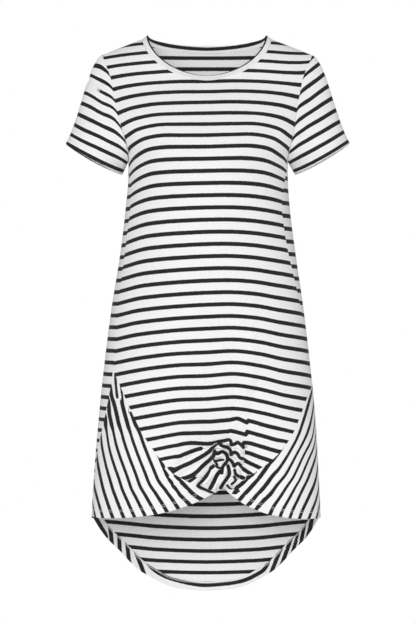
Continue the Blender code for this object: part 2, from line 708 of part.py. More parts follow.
for old in list(bpy.data.objects):
    bpy.data.objects.remove(old, do_unlink=True)
make_front()
make_back()
for panel_side in SIDES:
    make_side_front(panel_side)
for sleeve in SLEEVES:
    make_sleeve(*sleeve)
make_neckband()
make_knot()
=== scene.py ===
"""Striped cotton jersey t-shirt dress with a knot at its front hem, filled out as worn.

The file follows the dress as it is sewn: studio, front, back, side fronts, sleeves, neckband and
knot. Lengths are in metres and angles in degrees unless a comment says otherwise.
"""
import math

import bpy
import numpy as np
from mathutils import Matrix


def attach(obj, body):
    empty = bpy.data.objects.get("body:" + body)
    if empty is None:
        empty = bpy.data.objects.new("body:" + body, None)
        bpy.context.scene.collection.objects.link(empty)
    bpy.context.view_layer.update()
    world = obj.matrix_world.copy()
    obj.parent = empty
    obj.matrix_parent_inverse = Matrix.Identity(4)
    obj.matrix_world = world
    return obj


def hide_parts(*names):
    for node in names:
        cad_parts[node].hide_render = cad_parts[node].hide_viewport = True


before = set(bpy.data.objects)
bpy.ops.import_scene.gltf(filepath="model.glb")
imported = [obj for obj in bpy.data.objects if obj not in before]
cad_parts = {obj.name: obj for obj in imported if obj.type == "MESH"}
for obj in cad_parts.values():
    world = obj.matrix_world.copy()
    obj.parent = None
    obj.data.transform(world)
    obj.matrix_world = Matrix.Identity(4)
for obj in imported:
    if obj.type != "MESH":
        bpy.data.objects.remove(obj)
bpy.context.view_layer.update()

# ---------------------------------------------------------------------------------------------
# Studio: a pale matt floor under a white sky, large soft boxes all round and the camera. The
# white surround lights the cloth almost evenly, so folds show as faint shade alone.
CAMERA_PLACE = (0.0019, -3.6, -0.5095)
CAMERA_LENS = 112.27      # millimetres, on a sensor whose long side is 36
FLOOR_HEIGHT = -1.32
FLOOR_RADIUS = 1.35
FLOOR_SIDES = 96
SKY_LIGHT = 0.20          # the sky lights the cloth less than its own white shows


def linear_colour(code):
    """An sRGB hex code as a linear colour."""
    channels = [int(code[place:place + 2], 16) / 255 for place in (0, 2, 4)]
    straight = [c / 12.92 if c <= 0.04045 else ((c + 0.055) / 1.055) ** 2.4 for c in channels]
    return (*straight, 1.0)


def add_node(tree, kind, settings=None, links=None):
    """Adds a node with its properties, the values of its inputs, and its links."""
    node = tree.nodes.new(kind)
    for name, value in (settings or {}).items():
        if isinstance(name, str) and hasattr(node, name):
            setattr(node, name, value)
        else:
            node.inputs[name].default_value = value
    for name, source in (links or {}).items():
        tree.links.new(source, node.inputs[name])
    return node


def put_in_scene(name, data):
    thing = bpy.data.objects.new(name, data)
    bpy.context.scene.collection.objects.link(thing)
    return thing


def new_mesh(name, points, edges, faces):
    mesh = bpy.data.meshes.new(name)
    mesh.from_pydata([tuple(map(float, point)) for point in points], edges,
                     [tuple(map(int, face)) for face in faces])
    return mesh


def soft_box(name, place, aim, size, power):
    """A square soft box that faces a point."""
    lamp = bpy.data.lights.new(name, "AREA")
    lamp.size = size
    lamp.energy = power
    box = put_in_scene(name, lamp)
    box.location = place
    way = np.subtract(aim, place)
    level = math.hypot(way[0], way[1])
    box.rotation_euler = (math.atan2(level, -way[2]), 0, math.atan2(-way[0], way[1]))


sky = bpy.data.worlds.new("white_studio")
sky.use_nodes = True
sky_light = sky.node_tree.nodes["Background"]
sky_light.inputs["Color"].default_value = (1, 1, 1, 1)
seen = add_node(sky.node_tree, "ShaderNodeLightPath")
strength = add_node(sky.node_tree, "ShaderNodeMapRange", {3: SKY_LIGHT, 4: 1.0}, {0: seen.outputs[0]})
sky.node_tree.links.new(strength.outputs[0], sky_light.inputs["Strength"])
bpy.context.scene.world = sky
bpy.context.scene.view_settings.view_transform = "Standard"

camera_data = bpy.data.cameras.new("camera")
camera_data.lens = CAMERA_LENS
camera_data.sensor_width = 36
camera = put_in_scene("camera", camera_data)
camera.location = CAMERA_PLACE
camera.rotation_euler = (math.pi / 2, 0, 0)
bpy.context.scene.camera = camera

soft_box("key_light", (-0.3, -3.7, -0.15), (0, 0, -0.5), 1.6, 70)
soft_box("top_light", (0.2, -2.6, 1.7), (0, 0, -0.3), 1.8, 15)
soft_box("right_side_light", (-3.0, -1.6, -0.1), (0, 0, -0.5), 1.8, 30)
soft_box("left_side_light", (3.0, -1.6, -0.1), (0, 0, -0.5), 1.8, 30)
soft_box("back_light", (0.4, 3.7, 0.1), (0, 0, -0.5), 1.6, 60)
soft_box("neck_light", (0, -0.02, -0.20), (0, 0.07, -0.04), 0.12, 0.08)     # hidden inside the dress

# Matt white emulsion, rolled on: it has no gloss, so it shows only a soft even shade.
floor_paint = bpy.data.materials.new("matt_studio_paint")
floor_paint.use_nodes = True
floor_shader = floor_paint.node_tree.nodes["Principled BSDF"]
floor_shader.inputs["Base Color"].default_value = linear_colour("FAFAFA")
floor_shader.inputs["Roughness"].default_value = 0.9
floor_rim = [(FLOOR_RADIUS * math.cos(turn), FLOOR_RADIUS * math.sin(turn), FLOOR_HEIGHT)
             for turn in np.linspace(0, 2 * np.pi, FLOOR_SIDES, endpoint=False)]
floor_data = new_mesh("floor", floor_rim, [], [range(FLOOR_SIDES)])
floor_data.materials.append(floor_paint)
put_in_scene("floor", floor_data)

# ---------------------------------------------------------------------------------------------
# Front: one panel of striped single jersey, cut from the shoulders to a hem that rises to a notch.
# It lies on the body form that all panels share, and its stripes sag softly towards the sides.
CLOTH = 0.0010                    # one layer of jersey
SEAM_GAP = 0.0003
ROUNDNESS = 2.2                   # exponent of the body's rounded sections
SHOULDER_TIP = -0.034
ARMPIT = -0.233
SHOULDER_RISE = 0.0512
SHOULDER_FALL = 0.4215
SHOULDER_ROUNDING = 0.060
SHOULDER_ROLL = 0.065
NECK_HALF_WIDTH = 0.119
NECK_POINT = -0.005
NECK_FRONT = (0.083, 1.8)         # drop of the neck seam at the centre front, and its roundness
SIDE_HEM = -0.889
FRONT_HEM_RISE = 0.063
NOTCH_X = 0.030
NOTCH_REACH = (0.090, 0.056)      # on the right and on the left of the notch
SEAM_END = -0.840                 # height at which the curved seams reach the hem
PANEL_TOP = {"right": -0.616, "left": -0.642}
KNOT_X = 0.034
KNOT_HEIGHT = -0.792
KNOT_PULL_WIDTH = 0.095
SIDES = {"right": -1, "left": 1}
ARMHOLE_ROWS = 40
SIDE_ROWS = 70
SKIRT_ROWS = 100
SHOULDER_COLUMNS = 14
NECK_COLUMNS = 130
KNOT_SHARES = (0.36, 28, 130)     # rows are closer near the knot: from this share on, and how many
EDGE_HOLD = 5                     # powers that keep the pull of a panel's edges near them
TOP_HOLD = 6
HEM_HOLD = 3
SETTLED_FROM = 0.16               # share of the way down at which the columns are evenly spread
CALM_HEIGHTS = (-0.79, -0.69)     # above these, columns follow an edge's mean and not its bends
CALM_REACH = np.linspace(-0.06, 0.06, 7)
UNDER_SHOULDER = 0.000006         # keeps the upper edge on its own side of the shoulder's crest
RIM_BULGE = 0.35                  # of a layer's thickness
SHARP_FROM = 50
CURVE_PARTS = 5                   # straight parts between two points of a smooth line
FRONT_TURN_UP = 0.015
FOLD_ROWS = 6
TURN_UP_ROWS = 8
TURN_UP_ENDS = 0.030              # at its ends the turned-up cloth follows the seam, over this far

# height: half width on the right and on the left, depth in front and at the back
BODY_SECTIONS = {
    0.030: (0.2280, 0.2280, 0.0320, 0.036),
    -0.034: (0.2186, 0.2197, 0.0430, 0.062),
    -0.082: (0.2015, 0.2010, 0.0560, 0.086),
    -0.128: (0.1910, 0.1904, 0.0800, 0.099),
    -0.170: (0.1760, 0.1798, 0.0990, 0.105),
    -0.200: (0.1590, 0.1660, 0.1110, 0.106),
    -0.220: (0.1480, 0.1530, 0.1155, 0.105),
    -0.233: (0.1450, 0.1490, 0.1170, 0.104),
    -0.266: (0.1455, 0.1495, 0.1195, 0.101),
    -0.311: (0.1495, 0.1525, 0.1200, 0.098),
    -0.400: (0.1600, 0.1635, 0.1200, 0.097),
    -0.500: (0.1760, 0.1780, 0.1200, 0.103),
    -0.600: (0.1890, 0.1900, 0.1190, 0.109),
    -0.700: (0.1995, 0.2000, 0.1180, 0.113),
    -0.800: (0.2080, 0.2060, 0.1170, 0.116),
    -0.890: (0.2130, 0.2100, 0.1160, 0.118),
    -1.060: (0.2150, 0.2120, 0.1160, 0.120),
}
# height: bearing of the armhole's edge from the centre front and from the centre back
ARMHOLE = {
    -0.034: (62.0, 62.0),
    -0.082: (61.0, 63.5),
    -0.128: (61.0, 65.0),
    -0.170: (63.0, 67.0),
    -0.200: (68.0, 71.0),
    -0.220: (76.5, 78.5),
    -0.229: (82.5, 85.0),
    -0.233: (88.0, 92.0),
}
# height: bearing of the side seam on the right and on the left
SIDE_SEAM = {
    -0.233: (88.0, 88.0),
    -0.266: (78.0, 73.0),
    -0.326: (69.0, 62.5),
    -0.377: (69.5, 63.5),
    -0.440: (69.0, 68.4),
    -0.500: (67.0, 75.0),
    -0.560: (64.5, 86.0),
    -0.603: (63.5, 90.0),
    -0.644: (64.7, 90.0),
    -0.686: (67.7, 90.0),
    -0.729: (72.6, 90.0),
    -0.768: (78.5, 90.0),
    -0.820: (83.0, 90.0),
    -0.889: (88.0, 90.0),
}
# height: distance across of the curved seams on the right and on the left
CURVED_SEAM = {
    -0.642: (-0.1580, 0.1935),
    -0.670: (-0.1455, 0.1810),
    -0.700: (-0.1310, 0.1690),
    -0.730: (-0.1155, 0.1555),
    -0.760: (-0.0950, 0.1345),
    -0.785: (-0.0750, 0.1080),
    -0.800: (-0.0605, 0.0850),
    -0.815: (-0.0360, 0.0670),
    -0.830: (-0.0100, 0.0505),
    -0.840: (0.0065, 0.0440),
}
# height: how far the knot draws the cloth inwards
KNOT_PULL = {
    -0.430: 0.000,
    -0.560: 0.004,
    -0.640: 0.013,
    -0.700: 0.024,
    -0.755: 0.036,
    -0.800: 0.042,
    -0.850: 0.043,
    -0.900: 0.040,
}
# number of a black stripe, counted down from the shoulder: its height at the centre front
FRONT_STRIPES = {
    -2: 0.004, 0: -0.0325, 2: -0.0700, 3: -0.0899, 4: -0.1092, 5: -0.1296, 6: -0.1504,
    7: -0.1709, 8: -0.1916, 9: -0.2123, 10: -0.2341, 11: -0.2560, 13: -0.2997, 16: -0.3652,
    20: -0.4524, 24: -0.5383, 28: -0.6229, 31: -0.6858, 34: -0.7467, 38: -0.8260,
}
# Sag of the stripes below their level at the centre front, in millimetres, minus for lower.
FRONT_SAG_BEARINGS = (-80, -60, -45, -30, -15, 0, 15, 30, 45, 60, 80)
FRONT_SAG = {
    -0.020: (-13, -9, -4.5, -1, 1, 2, 1.5, 0.5, -1, 1, 10),
    -0.060: (-13.5, -8.5, -5, -2, 0.5, 1.5, 1.5, 0.5, -1, 1.5, 13.5),
    -0.100: (-17, -11.5, -6.5, -2.5, -0.5, -0.5, 1, 0.5, -2, -4.5, -3),
    -0.140: (-23, -16, -8.5, -3, -1.5, -0.5, 0.5, -0.5, -4.5, -11, -17),
    -0.170: (-27.5, -17.5, -7.5, -1, -0.5, -0.5, 0.5, 1, -5.5, -16, -26),
    -0.190: (-29, -17, -5.5, 0, -0.5, -0.5, 1, 2, -4, -17.5, -30),
    -0.215: (-27, -13.5, -4, -1, -1, -1, 0.5, 1.5, -2, -12.5, -26),
    -0.250: (-28, -13, -4.5, -2, -1.5, -1, 0, 0, -2.5, -9.5, -19.5),
    -0.310: (-25.5, -13.5, -6.5, -3.5, -2, -1, -0.5, -1.5, -4.5, -8.5, -14),
    -0.400: (-23, -15.5, -9, -5.5, -3, -1, -0.5, -2.5, -6.5, -10, -14.5),
    -0.540: (-25, -19, -12.5, -7.5, -3.5, -1, 0.5, -3.5, -11, -15.8, -20),
    -0.650: (-29, -22.5, -16, -8.5, -2.5, -1, 2.5, -5, -15.3, -21.2, -27),
    -0.750: (-34, -27, -20, -12, -2.5, 1, 1, -7, -17.5, -26.5, -35),
}
STRIPE_PERIOD = 0.022
BLACK_WIDTH = 0.0076


def through(table, place=None):
    """A monotone cubic through a table's values, or through one of each row's values."""
    x = np.array(sorted(table), dtype=float)
    y = np.array([table[key] if place is None else table[key][place] for key in sorted(table)], float)
    step = np.diff(x)
    slope = np.diff(y) / step
    tangent = np.zeros_like(y)
    tangent[0] = slope[0]
    tangent[-1] = slope[-1]
    for k in range(1, len(x) - 1):
        if slope[k - 1] * slope[k] > 0:
            before = 2 * step[k] + step[k - 1]
            after = step[k] + 2 * step[k - 1]
            tangent[k] = (before + after) / (before / slope[k - 1] + after / slope[k])

    def read(value):
        value = np.clip(value, x[0], x[-1])
        k = np.clip(np.searchsorted(x, value) - 1, 0, len(x) - 2)
        t = (value - x[k]) / step[k]
        return ((2 * t ** 3 - 3 * t ** 2 + 1) * y[k] + (t ** 3 - 2 * t ** 2 + t) * step[k] * tangent[k]
                + (3 * t ** 2 - 2 * t ** 3) * y[k + 1] + (t ** 3 - t ** 2) * step[k] * tangent[k + 1])

    return read


def chart(table, across):
    """A smooth surface through a chart: rows by their key, columns by the places across."""
    rows = np.array(sorted(table), dtype=float)
    columns = np.array(across, dtype=float)
    values = np.array([table[key] for key in sorted(table)], dtype=float)

    def weights(knots, value):
        """Shares of the chart's knots in a value, with slopes from the neighbours."""
        last = len(knots) - 1
        value = np.clip(value, knots[0], knots[-1]).ravel()
        k = np.clip(np.searchsorted(knots, value) - 1, 0, last - 1)
        step = knots[k + 1] - knots[k]
        t = (value - knots[k]) / step
        share = np.zeros((len(value), last + 1))
        here = np.arange(len(value))
        share[here, k] += 2 * t ** 3 - 3 * t ** 2 + 1
        share[here, k + 1] += 3 * t ** 2 - 2 * t ** 3
        for knot, pull in ((k, t ** 3 - 2 * t ** 2 + t), (k + 1, t ** 3 - t ** 2)):
            low = np.maximum(knot - 1, 0)
            high = np.minimum(knot + 1, last)
            slope = pull * step / (knots[high] - knots[low])
            np.add.at(share, (here, high), slope)
            np.add.at(share, (here, low), -slope)
        return share

    def read(row, column):
        row, column = np.broadcast_arrays(row, column)
        found = np.einsum("ki,ij,kj->k", weights(rows, row), values, weights(columns, column))
        return found.reshape(row.shape)

    return read


HALF = {"right": through(BODY_SECTIONS, 0), "left": through(BODY_SECTIONS, 1)}
DEPTH_FRONT = through(BODY_SECTIONS, 2)
DEPTH_BACK = through(BODY_SECTIONS, 3)
ARMHOLE_FRONT = through(ARMHOLE, 0)
ARMHOLE_BACK = through(ARMHOLE, 1)
SEAM_BEARING = {"right": through(SIDE_SEAM, 0), "left": through(SIDE_SEAM, 1)}
KNOT_DRAW = through(KNOT_PULL)


def smoothstep(low, high, value):
    t = np.clip((value - low) / (high - low), 0, 1)
    return t * t * (3 - 2 * t)


def shoulder_height(x):
    return SHOULDER_RISE - SHOULDER_FALL * np.sqrt(x ** 2 + SHOULDER_ROUNDING ** 2)


def no_relief(x, height):
    return 0.0


def body_point(bearing, height, relief=no_relief):
    """Point of the cloth's outer face; bearing 0 is the centre front, pi/2 the left side."""
    bearing, height = np.broadcast_arrays(np.asarray(bearing, float), np.asarray(height, float))
    sine = np.sin(bearing)
    half = np.where(sine > 0, HALF["left"](height), HALF["right"](height))
    x = half * sine
    round_off = (1 - np.abs(sine) ** ROUNDNESS) ** (1 / ROUNDNESS)
    below = np.clip((shoulder_height(x) - height) / SHOULDER_ROLL, 0, 1)
    roll = np.sqrt(1 - (1 - below) ** 2)
    pull = KNOT_DRAW(height) * np.exp(-((x - KNOT_X) / KNOT_PULL_WIDTH) ** 2)
    front = -(DEPTH_FRONT(height) * roll - pull + relief(x, height)) * round_off
    back = (DEPTH_BACK(height) * roll + relief(x, height)) * round_off
    return np.stack([x, np.where(np.cos(bearing) > 0, front, back), height], axis=-1)


def body_normal(bearing, height, relief=no_relief):
    """Outward unit normal of the cloth's face."""
    turn = 0.002
    drop = 0.0005
    across = body_point(bearing + turn, height, relief) - body_point(bearing - turn, height, relief)
    down = body_point(bearing, height - drop, relief) - body_point(bearing, height, relief)
    normal = np.cross(down, across)
    return normal / np.linalg.norm(normal, axis=-1, keepdims=True)


def bearing_at(x, height):
    half = np.where(x > 0, HALF["left"](height), HALF["right"](height))
    return np.arcsin(np.clip(x / half, -1, 1))


def seam_heights(side, last, skirt_shares=np.linspace(0, 1, SKIRT_ROWS + 1)):
    """Heights of the points down a panel's edge: armhole, side seam and skirt."""
    turn = np.linspace(0, np.pi, ARMHOLE_ROWS + 1)[:-1]
    armhole = SHOULDER_TIP - (SHOULDER_TIP - ARMPIT) * (1 - np.cos(turn)) / 2
    upper = np.linspace(ARMPIT, PANEL_TOP[side], SIDE_ROWS + 1)[:-1]
    skirt = PANEL_TOP[side] + (last - PANEL_TOP[side]) * skirt_shares
    return np.array([*armhole, *upper, *skirt])


def curved_seam_bearing(side, height):
    """Bearing of the seam between the front and one of its side panels."""
    top = PANEL_TOP[side]
    corner = body_point(SIDES[side] * np.radians(SEAM_BEARING[side](top)), top)[0]
    place = list(SIDES).index(side)
    line = {key: row[place] for key, row in CURVED_SEAM.items() if key < top - 0.01}
    return bearing_at(through({**line, top: float(corner)})(height), height)


def front_edge(side, height):
    arm = np.radians(ARMHOLE_FRONT(height))
    seam = np.radians(SEAM_BEARING[side](height))
    upper = SIDES[side] * np.where(height > ARMPIT, arm, seam)
    return np.where(height >= PANEL_TOP[side], upper, curved_seam_bearing(side, height))


def neck_seam_height(x, drop, roundness):
    inside = np.clip(1 - (np.abs(x) / NECK_HALF_WIDTH) ** roundness, 0, 1)
    return NECK_POINT - drop * inside ** (1 / roundness)


def front_hem_height(x):
    away = x - NOTCH_X
    reach = np.where(away < 0, NOTCH_REACH[0], NOTCH_REACH[1])
    return SIDE_HEM + FRONT_HEM_RISE * np.exp(-np.abs(away) / reach)


def top_line(drop, roundness):
    """Points of a panel's upper edge in x and height, from the right shoulder tip to the left."""
    tips = [body_point(front_edge(side, SHOULDER_TIP), SHOULDER_TIP)[0] for side in SIDES]
    right = np.linspace(tips[0], -NECK_HALF_WIDTH, SHOULDER_COLUMNS + 1)[:-1]
    neck = NECK_HALF_WIDTH * np.sin(np.linspace(-np.pi / 2, np.pi / 2, NECK_COLUMNS + 1))
    left = np.linspace(NECK_HALF_WIDTH, tips[1], SHOULDER_COLUMNS + 1)[1:]
    x = np.array([*right, *neck, *left])
    in_neck = np.abs(x) <= NECK_HALF_WIDTH
    height = np.where(in_neck, neck_seam_height(x, drop, roundness), shoulder_height(x))
    return x, np.minimum(height, shoulder_height(x)) - UNDER_SHOULDER


def panel_grid(top_x, top_height, edges, edge_heights, hem_height):
    """Bearings and heights of a panel's points between two edges, in rows from the top."""
    even = np.linspace(0, 1, len(top_x))
    low, high = (edge(heights[0]) for edge, heights in zip(edges, edge_heights))
    half = np.where(top_x > 0, HALF["left"](top_height), HALF["right"](top_height))
    bearing_top = np.arcsin(np.clip(top_x / half, -1, 1))
    bearing_top = np.where(low > np.pi / 2, np.pi - bearing_top, bearing_top)
    share_top = (bearing_top - low) / (high - low)
    share_top[0], share_top[-1] = 0, 1
    parts = [(heights[0] - heights) / (heights[0] - heights[-1]) for heights in edge_heights]
    part = parts[0][:, None] * (1 - even) + parts[1][:, None] * even
    level = edge_heights[0][:, None] * (1 - even) + edge_heights[1][:, None] * even
    settled = 1 - np.clip(1 - part / SETTLED_FROM, 0, 1) ** 2
    share = share_top * (1 - settled) + even * settled
    lows, highs = (edge(heights)[:, None] for edge, heights in zip(edges, edge_heights))
    calm = []
    for edge, heights in zip(edges, edge_heights):
        spread = smoothstep(*CALM_HEIGHTS, heights)
        calm.append(np.mean([edge(heights + shift * spread) for shift in CALM_REACH], axis=0)[:, None])
    gap = 0.5 * SEAM_GAP / HALF["left"](level) * np.sign(highs - lows)
    bearing = calm[0] + share * (calm[1] - calm[0])
    bearing += (lows + gap - calm[0]) * (1 - share) ** EDGE_HOLD
    bearing += (highs - gap - calm[1]) * share ** EDGE_HOLD
    bearing[0, 1:-1] = bearing_top[1:-1]
    bottom = hem_height(bearing[-1])
    bottom[0], bottom[-1] = edge_heights[0][-1], edge_heights[1][-1]
    height = level + (top_height - level[0]) * (1 - part) ** TOP_HOLD
    return bearing, height + (bottom - level[-1]) * part ** HEM_HOLD


def lay_cloth(mesh, cloth):
    """Stores the points' places on the flat cloth as the UV map."""
    corners = np.zeros(len(mesh.loops), dtype=np.int32)
    mesh.loops.foreach_get("vertex_index", corners)
    layer = mesh.uv_layers.new(name="cloth")
    layer.data.foreach_set("uv", np.array(cloth, dtype=np.float32)[corners].ravel())
    mesh.shade_smooth()


def cloth_shell(name, face, lining, face_cloth, lining_cloth, closed=False):
    """A closed layer of cloth between its two faces, with a rounded rim.

    The faces are grids of points, and their cloth grids are distances on the flat cloth,
    across and along the stripes' count, both in stripe periods. They become the UV map.
    """
    rows, columns = face.shape[:2]
    spans = columns if closed else columns - 1
    index = np.arange(rows * columns).reshape(rows, columns)
    after = np.roll(index, -1, axis=1)
    a, d = index[:-1, :spans], after[:-1, :spans]
    b, c = index[1:, :spans], after[1:, :spans]
    outside = np.stack([a, b, c, d], axis=-1).reshape(-1, 4)
    second = rows * columns
    quads = [*outside, *(outside[:, ::-1] + second)]
    if closed:
        loops = [[(0, k) for k in range(columns)], [(rows - 1, columns - 1 - k) for k in range(columns)]]
    else:
        loops = [[*[(0, k) for k in range(columns - 1)], *[(k, columns - 1) for k in range(rows - 1)],
                  *[(rows - 1, columns - 1 - k) for k in range(columns - 1)],
                  *[(rows - 1 - k, 0) for k in range(rows - 1)]]]
    points = [*face.reshape(-1, 3), *lining.reshape(-1, 3)]
    cloth = [*face_cloth.reshape(-1, 2), *lining_cloth.reshape(-1, 2)]
    for loop in loops:
        first = len(points)
        for row, column in loop:
            inner_row = min(max(row, 1), rows - 2)
            inner_column = column if closed else min(max(column, 1), columns - 2)
            middle = (face[row, column] + lining[row, column]) / 2
            thickness = np.linalg.norm(face[row, column] - lining[row, column])
            away = face[row, column] - face[inner_row, inner_column]
            points.append(middle + away / (np.linalg.norm(away) + 1e-9) * thickness * RIM_BULGE)
            cloth.append(face_cloth[row, column])
        count = len(loop)
        for k in range(count):
            near, far = index[loop[k]], index[loop[(k + 1) % count]]
            rim_near, rim_far = first + k, first + (k + 1) % count
            quads.append((near, far, rim_far, rim_near))
            quads.append((rim_near, rim_far, far + second, near + second))
    mesh = new_mesh(name, points, [], quads)
    lay_cloth(mesh, cloth)
    mesh.set_sharp_from_angle(angle=math.radians(SHARP_FROM))
    return put_in_scene(name, mesh)


def cloth_across(points):
    """Distance across the cloth from the middle column, in stripe periods."""
    run = np.linalg.norm(np.diff(points, axis=1), axis=-1)
    across = np.concatenate([np.zeros((len(points), 1)), np.cumsum(run, axis=1)], axis=1)
    return (across - across[:, points.shape[1] // 2][:, None]) / STRIPE_PERIOD


FRONT_COUNT = through({-height: number for number, height in FRONT_STRIPES.items()})
FRONT_SAG_AT = chart(FRONT_SAG, FRONT_SAG_BEARINGS)


def bent_line(points):
    """A smooth line through a few given points."""
    points = np.array(points, dtype=float)
    ends = np.concatenate([[2 * points[0] - points[1]], points, [2 * points[-1] - points[-2]]])
    line = [points[0]]
    for before, start, end, after in zip(ends[:-3], ends[1:-2], ends[2:-1], ends[3:]):
        for t in np.linspace(0, 1, CURVE_PARTS + 1)[1:]:
            bend = 2 * before - 5 * start + 4 * end - after + t * (3 * start - before - 3 * end + after)
            line.append(start + t / 2 * (end - before + t * bend))
    return np.array(line)


def crease_lines(rows):
    return [(high, wide, bent_line(points)) for high, wide, points in rows]


def stripe_lines(rows, narrower=1.0):
    """Listed stripes as smooth lines, with how much narrower than flat cloth's they are."""
    return [(number, narrower, bent_line(points)) for number, points in rows]


def from_line(x, z, line):
    """Distance of points from a line, and their height above it, minus for below."""
    nearest = np.full(np.shape(x), np.inf)
    above = np.zeros(np.shape(x))
    for start, end in zip(line[:-1], line[1:]):
        along = end - start
        t = np.clip(((x - start[0]) * along[0] + (z - start[1]) * along[1]) / (along @ along), 0, 1)
        high = z - start[1] - t * along[1]
        distance = np.hypot(x - start[0] - t * along[0], high)
        above = np.where(distance < nearest, high, above)
        nearest = np.minimum(distance, nearest)
    return nearest, above


def count_from_lines(x, z, lines, falling=1):
    """Count of stripes where their lines are given.

    Each line comes as its count, how much narrower than flat cloth's it is, and its points. The
    count rises downwards, or upwards where falling is -1.
    """
    nearest = np.full(np.shape(x), np.inf)
    count = np.zeros(np.shape(x))
    for number, narrower, line in lines:
        distance, above = from_line(x, z, line)
        away = np.minimum(distance / 1000 * narrower / STRIPE_PERIOD, 0.5)
        count = np.where(distance < nearest, number - falling * np.where(above > 0, away, -away), count)
        nearest = np.minimum(distance, nearest)
    return count


def from_knot(x, height):
    """Millimetres across and above the knot's middle."""
    return (x - KNOT_X) * 1000, (height - KNOT_HEIGHT) * 1000


# Stripes that the knot draws out of line, as (count, points), and how far they hold.
# Points are millimetres to the left of the knot's middle on the wearer and above it.
DRAWN_STRIPES = [
    (32, [(-97, 84), (-83, 84), (-47, 85), (-29, 85), (-10, 86.5), (7, 88), (20, 90.5), (29, 87.5),
          (38, 83)]),
    (32, [(41, 86.5), (53, 83.5), (71, 78), (98, 71), (124, 62)]),
    (33, [(-97, 63), (-83, 64), (-47, 64.5), (-29, 64.5), (-10, 66), (4, 67), (9, 68), (20, 65.5),
          (36, 61)]),
    (33, [(39, 66.5), (53, 62.5), (71, 57.5), (98, 49.5), (124, 41)]),
    (34, [(-97, 42.5), (-82, 44.5), (-64, 46.5), (-46, 45.5), (-36, 44.5), (-25, 45), (-14, 47.5),
          (-3, 49.5), (5, 51), (8, 49), (9, 44), (14, 44.5), (20, 46.5), (25, 44), (31, 38)]),
    (34, [(33, 46), (43, 45.5), (61, 40.5), (79, 35), (97, 29.5), (119, 21)]),
    (35, [(-97, 16), (-82, 23.5), (-68, 29), (-55, 33.5), (-45, 36)]),
    (35, [(32, 29.5), (43, 27), (61, 20.5), (83, 13), (99, 7)]),
    (36, [(-97, -6), (-82, 3), (-64, 10.5), (-46, 20), (-34, 27.5), (-25, 35), (-16, 44)]),
    (36, [(22, 25.5), (27, 20), (34, 14), (49, 6.5), (65, -1), (79, -8)]),
    (37, [(-97, -27), (-82, -19.5), (-64, -13.5), (-52, -6), (-41, 5), (-28, 16), (-23, 23.5)]),
    (37, [(18, 9), (27, 1.5), (38, -6), (49, -13), (59, -19)]),
    (38, [(16, -5), (20, -12), (31, -18), (39, -22)]),
    (39, [(46, -13), (39, -18.5), (32, -26), (26, -31.5), (19, -35.5), (12, -34)]),
]
DRAWN_REACH = {"right": (-92, -76), "left": (88, 108), "below": (-75, -60)}
FIRST_DRAWN = (31.35, 31.65)
# Painted shadow: the shade of a fold in the gathered cloth under stripe 37 is drawn as a thin wedge of
# black.
PAINTED_FOLD_SHADOW = (37, [(-80, -22), (-68, -24), (-56, -17)])
FOLD_SHADOW_NARROWER = 1.35
DRAWN_LINES = [*stripe_lines(DRAWN_STRIPES), *stripe_lines([PAINTED_FOLD_SHADOW], FOLD_SHADOW_NARROWER)]
REACH_SLANT = (20, 0.6)           # below this height over the middle, the right reach slants out


def front_stripe(bearing, height):
    """Count of stripes down to a point of the front; whole numbers are the middles of black."""
    x = body_point(bearing, height)[..., 0]
    sag = FRONT_SAG_AT(height, np.degrees(bearing)) / 1000
    count = FRONT_COUNT(-(height - sag))
    across, up = from_knot(x, height)
    slant = REACH_SLANT[1] * np.maximum(REACH_SLANT[0] - up, 0)
    drawn = (smoothstep(*DRAWN_REACH["right"], across + slant)
             * (1 - smoothstep(*DRAWN_REACH["left"], across))
             * smoothstep(*DRAWN_REACH["below"], up) * smoothstep(*FIRST_DRAWN, count))
    near = drawn > 0
    # The drawn lines include the painted fold shadow, a thin black wedge under stripe 37.
    count[near] += drawn[near] * (count_from_lines(across[near], up[near], DRAWN_LINES) - count[near])
    return count


# Single jersey of combed cotton, knitted from white and black yarn. It is matt and slightly
# fuzzy, its black is a soft charcoal, and the loops' fine ribs give the stripes a broken edge.
# The real ribs are 1.1 mm apart, and are drawn 2.4 mm apart so that they show.
EDGE_RAGGED = 0.05                # how far the yarn moves a stripe's edge, in stripes
EDGE_SOFT = 0.018                 # half of how soft that edge is


